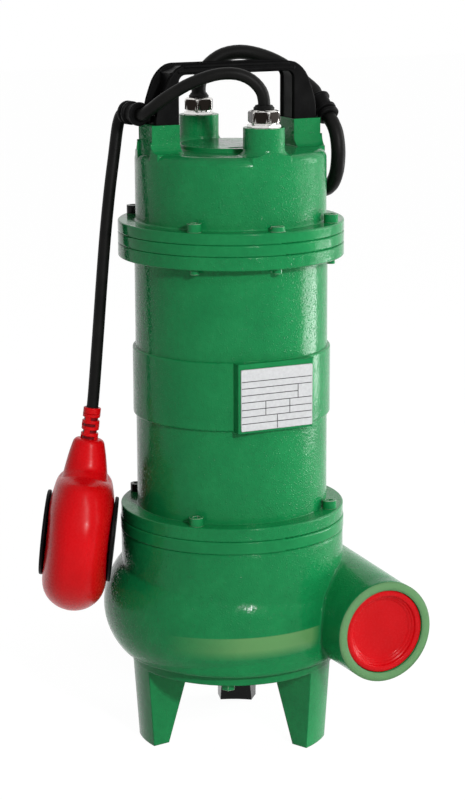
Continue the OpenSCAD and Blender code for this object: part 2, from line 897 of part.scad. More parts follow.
module ball_set(bore, od, w) {
    for (i = [0 : balls - 1])
        rotate([0, 0, i * 360 / balls])
            translate([ball_circle(bore, od), 0, w / 2])
                sphere(ball_r(bore, od), $fn = 32);
    // cage that carries the balls
    translate([0, 0, w / 2 - 2])
        ring_shape(2 * ball_circle(bore, od) + 1.6, 2 * ball_circle(bore, od) - 1.4, 4);
}

module lower_bearing_outer() {
    color("silver")
        translate([0, 0, lower_z])
            race(lower_bore, lower_od, lower_w, true, play);
}

module lower_bearing_balls() {
    color("lightgray")
        translate([0, 0, lower_z])
            ball_set(lower_bore, lower_od, lower_w);
}

module lower_bearing_inner() {
    color("silver")
        translate([0, 0, lower_z])
            race(lower_bore + 2 * play, lower_od, lower_w, false, ball_play);
}

module upper_bearing_outer() {
    color("silver")
        translate([0, 0, upper_z])
            race(upper_bore, upper_od, upper_w, true, play);
}

module upper_bearing_balls() {
    color("lightgray")
        translate([0, 0, upper_z])
            ball_set(upper_bore, upper_od, upper_w);
}

module upper_bearing_inner() {
    color("silver")
        translate([0, 0, upper_z])
            race(upper_bore + 2 * play, upper_od, upper_w, false, ball_play);
}

module lip_seal() {
    color("black")
        translate([0, 0, lower_z - lip_t - 1])
            difference() {
                cylinder(d = seal_shaft_d + 16 - 2 * play, h = lip_t);
                translate([0, 0, -1])
                    cylinder(d = seal_shaft_d + 0.16, h = lip_t + 2);
                translate([0, 0, -1])
                    ring_shape(seal_shaft_d + 12, seal_shaft_d + 5, lip_t - 1);
            }
}

module seal_seat() {
    color("ivory")
        translate([0, 0, seat_z])
            ring_shape(seal_od, seal_shaft_d + 1.2, seat_t);
}

module seal_head() {
    color("dimgray")
        translate([0, 0, head_z])
            rotate_extrude()
                translate([seal_shaft_d / 2 + play, 0]) {
                    square([5, 3]);
                    translate([0, 3 - eps])
                        square([2.6, seal_head_h - 3]);
                    for (k = [0 : 2])
                        translate([2.6, 4.2 + 1.8 * k])
                            circle(0.9, $fn = 24);
                }
}

// --- impeller -----------------------------------------------------------------------------

// a vane swept back on an arc, from the hub to the rim
module vane() {
    arc_r = impeller_d * 0.42;
    intersection() {
        translate([hub_d / 2 - 4, arc_r, 0])
            rotate([0, 0, -90])
                rotate_extrude(angle = 88)
                    translate([arc_r - vane_t / 2, 0])
                        square([vane_t, impeller_h - impeller_plate + eps]);
        cylinder(d = impeller_d - 1, h = impeller_h);
    }
}

module impeller() {
    color("darkslategray")
        translate([0, 0, impeller_z])
            difference() {
                union() {
                    translate([0, 0, impeller_h - impeller_plate])
                        cylinder(d = impeller_d, h = impeller_plate);
                    cylinder(d1 = hub_d - 4, d2 = hub_d + 6, h = impeller_h);
                    for (i = [0 : vanes - 1])
                        rotate([0, 0, i * 360 / vanes])
                            vane();
                }
                translate([0, 0, -1])
                    cylinder(d = impeller_bore + 2 * play, h = impeller_h + 2);
                translate([0, 0, -1])
                    cylinder(d = 20, h = nose_t + 1);
            }
}

module impeller_washer() {
    color("silver")
        translate([0, 0, impeller_z + 6 + play])
            ring_shape(19.6, 6.4, nose_t - 6 - 2 * play);
}

module impeller_screw() {
    color("silver")
        translate([0, 0, impeller_z + 6 - 0.05]) {
            cylinder(d = 5.9, h = 24);
            translate([0, 0, -4])
                cylinder(d = 11, h = 4, $fn = 6);
        }
}

// --- port plug --------------------------------------------------------------------------

module port_plug() {
    r = plug_seat_d / 2 - plug_gap;
    h = plug_seat_depth - plug_gap - plug_face_z;
    color("red")
        translate([port_x, -port_reach + plug_seat_depth - plug_gap, port_axis_z])
            rotate([90, 0, 0])
                difference() {
                    cylinder(r = r, h = h);
                    translate([0, 0, 2.5])
                        cylinder(r1 = r - plug_rim - 1, r2 = r - plug_rim, h = h);
                }
}

// --- bearing plate and cover ---------------------------------------------------------------

module upper_bearing_plate() {
    color("seagreen")
        difference() {
            union() {
                translate([0, 0, bearing_z])
                    soft_disc(flange_d, bearing_plate_t, 1.2);
                translate([0, 0, bearing_z - upper_hub_h])
                    cylinder(r = upper_hub_r, h = upper_hub_h + bearing_plate_t);
                translate([0, 0, bearing_z - 4])
                    ring_shape(2 * (bore_r - play), 2 * bore_r - 8, 5);
            }
            translate([0, 0, bearing_z - upper_hub_h - 1])
                cylinder(d = upper_od + 2 * play, h = upper_z + upper_w - bearing_z + upper_hub_h + 1);
            translate([0, 0, bearing_z - upper_hub_h - 1])
                cylinder(d = upper_bore + 6, h = upper_z + upper_w - bearing_z + upper_hub_h + 2.4);
            // ways for the winding leads
            place_at([-90, 90], 44, bearing_z - 1)
                cylinder(d = 12, h = bearing_plate_t + 2);
            translate([0, 0, cover_z])
                o_ring(2 * bore_r + 9, groove_d);
            flange_holes(bearing_z, bearing_plate_t);
            flange_holes(bearing_z, bearing_plate_t, [0]);
        }
}

module cover_o_ring() {
    color("black")
        translate([0, 0, cover_z])
            o_ring(2 * bore_r + 9, o_ring_d);
}

// what stands on the cover reaches down past its rounded shoulder, flush with the wall
module block_shape() {
    foot = cover_round + 1;
    translate([block_x - block_w, -block_d / 2, cover_top - foot])
        cube([block_w, block_d, block_h + foot]);
    // cast roots of the block on its two sides
    for (side = [-1, 1])
        translate([block_x - block_w, side * block_d / 2, cover_top])
            rotate([90, 0, 90])
                linear_extrude(block_w + 10)
                    mirror([side < 0 ? 1 : 0, 0]) {
                        translate([-1, -foot])
                            square([block_root + 1, foot + eps]);
                        corner_fill(block_root);
                    }
}

module boss_shape() {
    foot = cover_round + 1;
    translate([0, 0, cover_top - foot])
        cylinder(d = boss_d, h = block_h + foot);
    translate([0, 0, cover_top])
        rotate_extrude()
            translate([boss_d / 2 - eps, 0]) {
                translate([0, -foot])
                    square([boss_root, foot + eps]);
                corner_fill(boss_root);
            }
}

module top_cover() {
    inner_r = cover_r - cover_wall;
    top_t = 6;
    color("seagreen")
        difference() {
            union() {
                translate([0, 0, cover_z])
                    soft_disc(flange_d, cover_flange_t, 1.2);
                translate([0, 0, cover_z])
                    soft_disc(2 * cover_r, cover_h, cover_round);
                rotate_extrude()
                    translate([cover_r - eps, cover_z + cover_flange_t - eps])
                        corner_fill(1.2);
                translate([0, 0, cover_top - 1])
                    cylinder(r = gland_y - boss_d / 2 - 3, h = crown_h + 1);
                intersection() {
                    union() {
                        for (side = [0, 180])
                            rotate([0, 0, side])
                                block_shape();
                        for (y = [-1, 1])
                            translate([0, y * gland_y, 0])
                                boss_shape();
                    }
                    translate([0, 0, cover_z])
                        cylinder(r = cover_r - 0.15, h = cover_h + block_h);
                }
            }
            // pocket in the crown, beside the front gland
            translate([-14, -29, cover_top + crown_h - 2])
                cube([12, 5, 3]);
            translate([0, 0, cover_z - 1])
                cylinder(r = inner_r, h = cover_h - top_t + 1);
            // threaded mouths of the glands and the handle screw holes
            for (y = [-1, 1])
                translate([0, y * gland_y, cover_top - top_t - 2])
                    cylinder(d = gland_thread_d, h = block_h + top_t + 4);
            for (side = [-1, 1])
                translate([side * (block_x - block_w / 2), 0, block_top - 18])
                    cylinder(d = screw_d, h = 20);
            translate([0, 0, cover_z])
                o_ring(2 * bore_r + 9, groove_d);
            flange_holes(cover_z, cover_flange_t);
            flange_holes(cover_z, cover_flange_t, [0]);
        }
}

module top_flange_screws() {
    color("dimgray")
        place_at(flange_dirs, bolt_r, cover_z + cover_flange_t)
            cap_screw(screw_d, top_screw_l, head_d, head_h);
}

module flange_pan_screw() {
    color("silver")
        place_at([0], bolt_r, cover_z + cover_flange_t) {
            translate([0, 0, -top_screw_l])
                cylinder(d = screw_d, h = top_screw_l + eps);
            difference() {
                cylinder(d1 = head_d + 1.5, d2 = head_d - 1, h = 3.4);
                translate([-0.7, -10, 2])
                    cube([1.4, 20, 4]);
            }
        }
}

module terminal_block() {
    bases = 3;
    color("ivory")
        translate([-30, 20, cover_z]) {
            cube([44, 16, 8]);
            for (i = [0 : bases - 1])
                translate([2 + 14 * i, 2, 7])
                    difference() {
                        cube([12, 12, 8]);
                        translate([6, 6, 3])
                            cylinder(d = 6, h = 8);
                        translate([6, -1, 3.5])
                            rotate([-90, 0, 0])
                                cylinder(d = 3.5, h = 20);
                    }
        }
}

// --- handle ---------------------------------------------------------------------------------

handle_straight = 15;

// half outline of the handle, from the middle of the bar to one foot
module handle_half() {
    top_r = 7;
    foot = handle_w / 2;
    shoulder = handle_top_w / 2;
    difference() {
        polygon([
            [0, 0], [foot, 0], [foot, handle_straight], [shoulder, handle_h - top_r],
            [shoulder - top_r * 0.3, handle_h - top_r * 0.3], [shoulder - top_r, handle_h], [0, handle_h]
        ]);
        polygon([
            [-1, -1], [foot - handle_leg_w, -1], [foot - handle_leg_w, handle_h - grip_t - 9],
            [foot - handle_leg_w - 8, handle_h - grip_t], [-1, handle_h - grip_t]
        ]);
    }
}

module handle() {
    foot = handle_w / 2;
    foot_t = 6;
    web = 4;
    color("black")
        translate([0, 0, block_top])
            difference() {
                rotate([90, 0, 0])
                    translate([0, 0, -handle_d / 2])
                        linear_extrude(handle_d) {
                            handle_half();
                            mirror([1, 0])
                                handle_half();
                        }
                for (side = [0, 180])
                    rotate([0, 0, side]) {
                        // channel, open to the outside of the leg
                        translate([foot - handle_leg_w + web, -handle_d / 2 + channel_rib, foot_t])
                            cube([handle_leg_w, handle_d - 2 * channel_rib,
                                handle_h - grip_t - foot_t - 3]);
                        translate([block_x - block_w / 2, 0, -1])
                            cylinder(d = screw_d + 2 * hole_gap, h = foot_t + 2);
                    }
            }
}

module handle_screws() {
    color("silver")
        for (side = [-1, 1])
            translate([side * (block_x - block_w / 2), 0, block_top + 6])
                cap_screw(screw_d, 20, head_d, 5);
}

// clip: a grooved sleeve round the cable, on a foot against the handle's leg
module clip_sleeve(bore) {
    difference() {
        union() {
            cylinder(d = clip_d - 3, h = clip_l);
            cylinder(d = clip_d, h = 3);
            translate([0, 0, clip_l - 3])
                cylinder(d = clip_d, h = 3);
            translate([0, 0, clip_l - 7.5])
                cylinder(d = clip_d, h = 2.5);
        }
        translate([0, 0, -1])
            cylinder(d = bore, h = clip_l + 2);
    }
}

module float_cable_clip() {
    reach = -float_clip[0] - clip_foot;
    color("black") {
        translate(float_clip)
            rotate([0, 0, float_clip_turn])
                rotate([-90, 0, 0])
                    clip_sleeve(float_d + 2 * cable_gap);
        difference() {
            translate([float_clip[0], float_clip[1] + 1, clip_z - 5])
                cube([reach, 6, 10]);
            translate(float_clip)
                rotate([0, 0, float_clip_turn])
                    rotate([-90, 0, 0])
                        translate([0, 0, -5])
                            cylinder(d = clip_d - 4, h = clip_l + 10);
        }
    }
}

module power_cable_clip() {
    reach = power_clip[0] - clip_foot;
    color("black") {
        translate(power_clip)
            rotate([0, 0, power_clip_turn])
                rotate([90 + power_clip_dip, 0, 0])
                    clip_sleeve(power_d + 2 * cable_gap);
        difference() {
            translate([clip_foot, power_clip[1] - 6, clip_z - 1])
                cube([reach, 6, 10]);
            translate(power_clip)
                rotate([0, 0, power_clip_turn])
                    rotate([90 + power_clip_dip, 0, 0])
                        translate([0, 0, -5])
                            cylinder(d = clip_d - 4, h = clip_l + 10);
        }
    }
}

// --- cable glands ---------------------------------------------------------------------------

module at_glands() {
    for (y = [-1, 1])
        translate([0, y * gland_y, 0])
            children();
}

module gland_bodies() {
    color("silver")
        at_glands()
            difference() {
                union() {
                    translate([0, 0, gland_z - 12])
                        cylinder(d = gland_thread_d - 2 * play, h = 13);
                    translate([0, 0, gland_z])
                        cylinder(d = (nut_af + 1) / cos(30), h = gland_flange_t - 0.9, $fn = 6);
                    translate([0, 0, gland_z])
                        cylinder(d = nut_af - 1.7, h = gland_flange_t);
                    translate([0, 0, gland_z])
                        cylinder(d = 15, h = gland_seat - gland_z);
                }
                translate([0, 0, gland_z - 13])
                    cylinder(d = 7, h = 30);
            }
}

module gland_nuts() {
    color("silver")
        at_glands()
            translate([0, 0, nut_z])
                difference() {
                    intersection() {
                        cylinder(d = nut_af / cos(30), h = nut_h, $fn = 6);
                        cylinder(d1 = nut_af * 1.25, d2 = nut_af * 0.98, h = nut_h * 1.9);
                    }
                    translate([0, 0, -1])
                        cylinder(d = 15.2, h = nut_h - 1.5);
                    translate([0, 0, -1])
                        cylinder(d = 13.3, h = nut_h + 2);
                }
}

module gland_seal(cable) {
    translate([0, 0, gland_seat])
        difference() {
            union() {
                cylinder(d = 13, h = seal_top - gland_seat);
                translate([0, 0, seal_top - gland_seat - 3.3])
                    cylinder(d = 14.4, h = 3.3);
            }
            translate([0, 0, -1])
                cylinder(d = cable + 2 * cable_gap, h = 40);
        }
}

module power_gland_seal() {
    color("black")
        translate([0, gland_y, 0])
            gland_seal(power_d);
}

module float_gland_seal() {
    color("black")
        translate([0, -gland_y, 0])
            gland_seal(float_d);
}

// --- cables ----------------------------------------------------------------------------------

module power_cable() {
    color("black")
        tube(smooth(power_points, 2), power_d, 8);
}

module power_cable_coil() {
    color("black")
        tube(coil_path, power_d, coil_sides);
}

// last stretch of the cable with its bare cores, lying on the coil
module power_cable_end() {
    last = coil_path[len(coil_path) - 1];
    dir = unit(last - coil_path[len(coil_path) - 2]);
    heading = atan2(dir[1], dir[0]);
    cores = 4;
    translate([last[0], last[1], last[2]])
        rotate([0, 0, heading])
            rotate([0, 90, 0]) {
                color("black")
                    translate([0, 0, 0.02])
                        cylinder(d = power_d, h = end_l);
                for (i = [0 : cores - 1])
                    rotate([0, 0, 45 + i * 360 / cores])
                        translate([core_d * 0.72, 0, end_l - 1]) {
                            color("peru")
                                cylinder(d = core_d, h = core_l);
                            color("gold")
                                cylinder(d = core_d * 0.6, h = core_l + core_tip);
                        }
            }
}

module float_cable_lead() {
    color("black")
        tube(smooth(concat(float_route, float_tail), 2), float_d, 8);
}

// --- float, in its own frame: hung straight down from the pivot ---------------------------------

module float_frame() {
    translate(float_pivot)
        rotate([0, float_lean, 0])
            rotate([180, 0, float_turn])
                children();
}

module float_cable_drop() {
    color("black")
        float_frame()
            rotate_extrude() {
                intersection() {
                    circle(d = float_d);
                    translate([0, -float_d])
                        square(float_d * 2);
                }
                square([float_d / 2, float_drop]);
            }
}

module float_strain_relief() {
    ribs = 6;
    color("firebrick")
        float_frame()
            translate([0, 0, float_drop + 0.05]) {
                cylinder(d = relief_d - 2.4, h = relief_l);
                for (i = [0 : ribs - 1])
                    translate([0, 0, (i + 0.2) * relief_l / ribs])
                        cylinder(d = relief_d, h = 0.6 * relief_l / ribs);
            }
}

module float_outline(shrink) {
    side = float_body_t / 2;
    r = float_body_d / 2;
    translate([0, 0, neck_s + (shrink > 0 ? 8 : 0)])
        cylinder(r1 = 9 - shrink, r2 = 13 - shrink, h = 15 - (shrink > 0 ? 8 : 0));
    translate([0, 0, neck_s + 15 - eps])
        cylinder(r1 = 13 - shrink, r2 = 24.5 - shrink, h = neck_l - 15);
    translate([0, 0, body_s])
        rotate([0, 90, 0]) {
            rotate_extrude()
                intersection() {
                    translate([r - side, 0])
                        circle(side - shrink, $fn = 96);
                    square([r, 2 * side], center = false);
                }
            mirror([0, 0, 1])
                rotate_extrude()
                    intersection() {
                        translate([r - side, 0])
                            circle(side - shrink, $fn = 96);
                        square([r, 2 * side]);
                    }
            translate([0, 0, -side + shrink])
                cylinder(r = r - side, h = 2 * (side - shrink));
        }
}

// wedge that slims the shoulders of the float's shell below its neck
module float_shoulders(shrink) {
    side = float_body_t / 2 + 5;
    translate([0, float_body_d, body_s])
        rotate([90, 0, 0])
            linear_extrude(2 * float_body_d)
                for (half = [0, 1])
                    mirror([half, 0])
                        polygon([
                            [side, -24], [side, -neck_run], [13.5 - shrink, -neck_run], [14 - shrink, -49],
                            [16 - shrink, -41], [19 - shrink, -34], [22.5 - shrink, -28], [24.5 - shrink, -24]
                        ]);
}

module float_shell() {
    color("red")
        float_frame()
            difference() {
                float_outline(0);
                difference() {
                    float_outline(float_wall);
                    float_shoulders(float_wall);
                }
                float_shoulders(0);
                translate([0, 0, float_drop])
                    cylinder(d = relief_d + 0.6, h = relief_l + 0.35);
            }
}

module float_side_caps() {
    color("black")
        float_frame()
            translate([0, 0, body_s])
                for (side = [-1, 1])
                    rotate([0, side * 90, 0])
                        translate([0, 0, float_body_t / 2 + 0.02])
                            soft_disc(cap_d, cap_t, 0.8);
}

// open switch cage, held between the flat inner faces of the shell
module float_switch() {
    cage = [float_body_t - 2 * float_wall - 0.04, 28, 20];
    cage_wall = 3;
    color("ivory")
        float_frame()
            translate([-cage[0] / 2, -cage[1] / 2, body_s - cage[2] / 2])
                difference() {
                    cube(cage);
                    translate([cage_wall, cage_wall, cage_wall])
                        cube([cage[0] - 2 * cage_wall, cage[1] - 2 * cage_wall, cage[2]]);
                }
}

base_stand();
base_screws();
volute_casing();
volute_o_ring();
seal_plate();
lower_flange_screws();
motor_casing();
nameplate();
stator_core();
stator_windings();
lower_bearing_outer();
lower_bearing_balls();
upper_bearing_outer();
upper_bearing_balls();
lip_seal();
seal_seat();
upper_bearing_plate();
cover_o_ring();
top_cover();
top_flange_screws();
flange_pan_screw();
terminal_block();
handle();
handle_screws();
gland_bodies();
gland_nuts();
power_gland_seal();
float_gland_seal();
float_cable_clip();
power_cable_clip();
power_cable();
power_cable_coil();
power_cable_end();
float_cable_lead();
shaft();
rotor_core();
rotor_end_rings();
lower_bearing_inner();
upper_bearing_inner();
seal_head();
impeller();
impeller_washer();
impeller_screw();
port_plug();
float_cable_drop();
float_strain_relief();
float_shell();
float_side_caps();
float_switch();
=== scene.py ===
"""Submersible sump pump with a float switch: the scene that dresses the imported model."""
import json
import math

import bmesh
import bpy
from mathutils import Matrix, Vector
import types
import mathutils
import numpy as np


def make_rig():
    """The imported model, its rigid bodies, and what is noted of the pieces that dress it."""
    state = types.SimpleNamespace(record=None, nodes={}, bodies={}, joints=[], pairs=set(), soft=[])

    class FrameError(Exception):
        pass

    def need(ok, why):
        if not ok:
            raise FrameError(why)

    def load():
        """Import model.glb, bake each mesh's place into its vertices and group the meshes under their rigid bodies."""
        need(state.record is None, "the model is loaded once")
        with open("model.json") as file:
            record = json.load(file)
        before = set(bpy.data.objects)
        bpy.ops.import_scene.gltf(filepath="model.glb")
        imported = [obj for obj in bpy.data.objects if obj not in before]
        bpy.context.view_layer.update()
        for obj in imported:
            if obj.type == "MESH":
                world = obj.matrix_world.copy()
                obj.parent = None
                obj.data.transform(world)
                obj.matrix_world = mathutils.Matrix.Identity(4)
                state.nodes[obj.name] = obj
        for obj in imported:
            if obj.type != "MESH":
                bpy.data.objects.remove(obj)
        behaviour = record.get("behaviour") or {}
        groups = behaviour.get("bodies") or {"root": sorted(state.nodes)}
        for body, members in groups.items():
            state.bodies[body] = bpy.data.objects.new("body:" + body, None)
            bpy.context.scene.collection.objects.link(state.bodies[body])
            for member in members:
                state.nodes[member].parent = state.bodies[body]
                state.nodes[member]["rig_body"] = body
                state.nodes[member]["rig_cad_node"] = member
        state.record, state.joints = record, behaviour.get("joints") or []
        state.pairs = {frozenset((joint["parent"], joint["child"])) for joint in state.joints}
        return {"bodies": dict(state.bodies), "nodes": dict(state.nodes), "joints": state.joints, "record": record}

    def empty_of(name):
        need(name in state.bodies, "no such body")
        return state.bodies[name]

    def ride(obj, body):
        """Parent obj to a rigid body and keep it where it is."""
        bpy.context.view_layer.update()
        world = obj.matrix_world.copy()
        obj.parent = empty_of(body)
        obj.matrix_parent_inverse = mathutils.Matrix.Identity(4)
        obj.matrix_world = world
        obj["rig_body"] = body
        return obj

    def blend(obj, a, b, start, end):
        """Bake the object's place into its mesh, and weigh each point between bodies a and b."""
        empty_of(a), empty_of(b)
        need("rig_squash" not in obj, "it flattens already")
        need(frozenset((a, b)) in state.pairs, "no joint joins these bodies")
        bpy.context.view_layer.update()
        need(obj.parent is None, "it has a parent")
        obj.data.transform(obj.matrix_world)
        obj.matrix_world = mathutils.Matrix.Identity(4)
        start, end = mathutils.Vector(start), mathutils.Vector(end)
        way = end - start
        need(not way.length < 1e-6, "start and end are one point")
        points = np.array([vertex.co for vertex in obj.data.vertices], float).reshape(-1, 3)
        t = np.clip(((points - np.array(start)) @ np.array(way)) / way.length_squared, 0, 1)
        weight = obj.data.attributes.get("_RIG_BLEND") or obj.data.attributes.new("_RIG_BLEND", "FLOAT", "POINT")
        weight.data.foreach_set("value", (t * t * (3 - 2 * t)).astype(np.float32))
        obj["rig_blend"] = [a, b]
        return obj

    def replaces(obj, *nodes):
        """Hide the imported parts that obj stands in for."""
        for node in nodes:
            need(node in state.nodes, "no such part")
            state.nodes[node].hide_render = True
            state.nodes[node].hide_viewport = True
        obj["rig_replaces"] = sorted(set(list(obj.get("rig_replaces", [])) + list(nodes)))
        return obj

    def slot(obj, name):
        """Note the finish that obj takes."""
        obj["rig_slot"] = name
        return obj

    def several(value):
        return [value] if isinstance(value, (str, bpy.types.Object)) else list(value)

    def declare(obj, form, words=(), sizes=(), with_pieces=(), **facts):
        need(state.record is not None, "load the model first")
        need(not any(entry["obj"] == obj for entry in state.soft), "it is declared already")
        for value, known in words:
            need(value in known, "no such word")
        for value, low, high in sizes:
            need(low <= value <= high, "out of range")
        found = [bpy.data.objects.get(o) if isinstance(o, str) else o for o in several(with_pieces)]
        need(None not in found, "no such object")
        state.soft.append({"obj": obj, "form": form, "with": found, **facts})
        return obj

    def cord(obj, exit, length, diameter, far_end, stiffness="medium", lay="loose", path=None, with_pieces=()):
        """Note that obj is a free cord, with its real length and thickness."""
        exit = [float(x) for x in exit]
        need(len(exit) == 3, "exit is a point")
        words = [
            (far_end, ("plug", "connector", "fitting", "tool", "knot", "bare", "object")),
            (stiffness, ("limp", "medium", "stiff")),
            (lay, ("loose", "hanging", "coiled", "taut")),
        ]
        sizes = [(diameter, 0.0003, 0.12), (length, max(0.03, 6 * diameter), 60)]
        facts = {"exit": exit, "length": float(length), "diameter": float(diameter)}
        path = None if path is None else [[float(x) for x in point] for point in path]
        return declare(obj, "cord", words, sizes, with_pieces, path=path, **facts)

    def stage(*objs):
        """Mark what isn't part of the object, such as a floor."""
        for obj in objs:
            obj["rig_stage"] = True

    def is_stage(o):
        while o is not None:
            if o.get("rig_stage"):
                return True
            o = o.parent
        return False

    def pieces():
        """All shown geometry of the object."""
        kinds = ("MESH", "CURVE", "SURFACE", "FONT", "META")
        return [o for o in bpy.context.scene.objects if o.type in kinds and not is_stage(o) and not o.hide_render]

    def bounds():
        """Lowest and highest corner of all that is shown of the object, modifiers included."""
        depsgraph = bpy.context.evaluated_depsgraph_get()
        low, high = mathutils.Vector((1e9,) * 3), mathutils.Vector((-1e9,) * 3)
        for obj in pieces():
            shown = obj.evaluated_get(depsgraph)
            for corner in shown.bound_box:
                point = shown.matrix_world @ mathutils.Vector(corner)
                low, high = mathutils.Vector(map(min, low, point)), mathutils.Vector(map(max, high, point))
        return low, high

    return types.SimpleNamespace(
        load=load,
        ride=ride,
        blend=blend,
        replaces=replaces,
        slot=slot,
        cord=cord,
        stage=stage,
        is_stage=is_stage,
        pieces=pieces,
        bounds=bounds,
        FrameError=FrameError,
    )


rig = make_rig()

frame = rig.load()
CAD_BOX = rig.bounds()
NODES = frame["nodes"]
MM = 0.001


# --- camera ---------------------------------------------------------------------------

CAMERA_TURN, CAMERA_TILT, CAMERA_ROLL = math.radians(25.4), 0.22165, -0.00382
CAMERA_AT = Vector((-0.6814, -1.4366, 0.6066))
FOCAL_PIXELS, PHOTO_HEIGHT, SENSOR = 2265.08, 800, 36


def make_camera():
    """Sets the camera, and returns its level right hand and the way it looks."""
    turn, tilt, roll = CAMERA_TURN, CAMERA_TILT, CAMERA_ROLL
    right = Vector((math.cos(turn), -math.sin(turn), 0))
    ahead = Vector((math.sin(turn) * math.cos(tilt), math.cos(turn) * math.cos(tilt), -math.sin(tilt)))
    up = right.cross(ahead)
    x = right * math.cos(roll) + up * math.sin(roll)
    y = up * math.cos(roll) - right * math.sin(roll)
    cam = bpy.data.objects.new("camera", bpy.data.cameras.new("camera"))
    bpy.context.scene.collection.objects.link(cam)
    pose = Matrix((x, y, -ahead)).transposed().to_4x4()
    pose.translation = CAMERA_AT
    cam.matrix_world = pose
    cam.data.sensor_width = SENSOR
    cam.data.lens = FOCAL_PIXELS / PHOTO_HEIGHT * SENSOR
    cam.data.clip_start, cam.data.clip_end = 0.05, 40
    bpy.context.scene.camera = cam
    return right, ahead


RIGHT, AHEAD = make_camera()


# --- helpers ----------------------------------------------------------------------------

def material(name):
    """A new material holding only its shader: the material, its node tree and the shader node."""
    m = bpy.data.materials.new(name)
    m.use_nodes = True
    nt = m.node_tree
    for n in list(nt.nodes):
        nt.nodes.remove(n)
    out = nt.nodes.new("ShaderNodeOutputMaterial")
    bsdf = nt.nodes.new("ShaderNodeBsdfPrincipled")
    nt.links.new(bsdf.outputs[0], out.inputs[0])
    return m, nt, bsdf


def node(nt, kind, links=(), **values):
    """A shader node; values set its properties or its named inputs, links joins inputs to outputs."""
    n = nt.nodes.new(kind)
    for k, v in values.items():
        if hasattr(n, k):
            setattr(n, k, v)
        else:
            n.inputs[k.replace("_", " ")].default_value = v
    for key, source in links:
        nt.links.new(source, n.inputs[key])
    return n


def place(nt):
    """The object's own coordinates, in metres."""
    return nt.nodes.new("ShaderNodeTexCoord").outputs["Object"]


def noise(nt, where, scale, detail, rough):
    return node(nt, "ShaderNodeTexNoise", [("Vector", where)], Scale=scale, Detail=detail,
                Roughness=rough).outputs["Fac"]


def ramp(nt, fac, stops):
    """fac turned into a colour by stops of (fac, colour)."""
    r = node(nt, "ShaderNodeValToRGB", [("Fac", fac)])
    e = r.color_ramp.elements
    while len(e) < len(stops):
        e.new(0.5)
    for i, (pos, col) in enumerate(stops):
        e[i].position = pos
        e[i].color = (*col, 1)
    return r.outputs["Color"]


def spread(nt, fac, lo, hi, out_lo, out_hi):
    """fac from lo to hi turned into out_lo to out_hi, and held past both ends."""
    return node(nt, "ShaderNodeMapRange", [("Value", fac)], From_Min=lo, From_Max=hi, To_Min=out_lo,
                To_Max=out_hi).outputs["Result"]


def bump(nt, height, distance, strength, normal=None):
    links = [("Height", height)] + ([("Normal", normal)] if normal else [])
    return node(nt, "ShaderNodeBump", links, Strength=strength, Distance=distance).outputs["Normal"]


def rounded(nt, radius):
    """The surface's normal with its edges rounded by a radius in metres."""
    return node(nt, "ShaderNodeBevel", samples=6, Radius=radius).outputs["Normal"]


def mixed(nt, fac, a, b):
    """Colour a turned into colour b by fac."""
    n = node(nt, "ShaderNodeMix", data_type="RGBA")
    nt.links.new(fac, n.inputs["Factor"])
    for key, v in ((6, a), (7, b)):
        if isinstance(v, tuple):
            n.inputs[key].default_value = (*v, 1)
        else:
            nt.links.new(v, n.inputs[key])
    return n.outputs[2]


def math_node(nt, op, a, b, clamp=False):
    n = nt.nodes.new("ShaderNodeMath")
    n.operation, n.use_clamp = op, clamp
    for i, v in enumerate((a, b)):
        if isinstance(v, (int, float)):
            n.inputs[i].default_value = v
        else:
            nt.links.new(v, n.inputs[i])
    return n.outputs[0]


def finish_mesh(name, bm, mat, body, slot, angle, replaces=()):
    """A mesh piece from a bmesh, smooth but for its sharp edges. It rides on body, unless that is None."""
    bmesh.ops.recalc_face_normals(bm, faces=bm.faces)
    me = bpy.data.meshes.new(name)
    bm.to_mesh(me)
    bm.free()
    me.polygons.foreach_set("use_smooth", [True] * len(me.polygons))
    me.set_sharp_from_angle(angle=math.radians(angle))
    me.materials.append(mat)
    ob = bpy.data.objects.new(name, me)
    bpy.context.scene.collection.objects.link(ob)
    if body:
        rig.ride(ob, body)
    if slot:
        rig.slot(ob, slot)
    if replaces:
        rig.replaces(ob, *replaces)
    return ob


def lathe(bm, profile, where, steps, closed=False):
    """Turns (radius, height) points in millimetres round the local z axis."""
    rings = []
    for r, z in profile:
        if r < 1e-6:
            rings.append([bm.verts.new(where @ Vector((0, 0, z * MM)))])
        else:
            rings.append([bm.verts.new(where @ Vector((r * MM * math.cos(2 * math.pi * k / steps),
                                                       r * MM * math.sin(2 * math.pi * k / steps),
                                                       z * MM))) for k in range(steps)])
    pairs = list(zip(rings, rings[1:])) + ([(rings[-1], rings[0])] if closed else [])
    for a, b in pairs:
        for k in range(steps):
            j = (k + 1) % steps
            if len(a) == 1:
                bm.faces.new((a[0], b[k], b[j]))
            elif len(b) == 1:
                bm.faces.new((a[k], a[j], b[0]))
            else:
                bm.faces.new((a[k], a[j], b[j], b[k]))


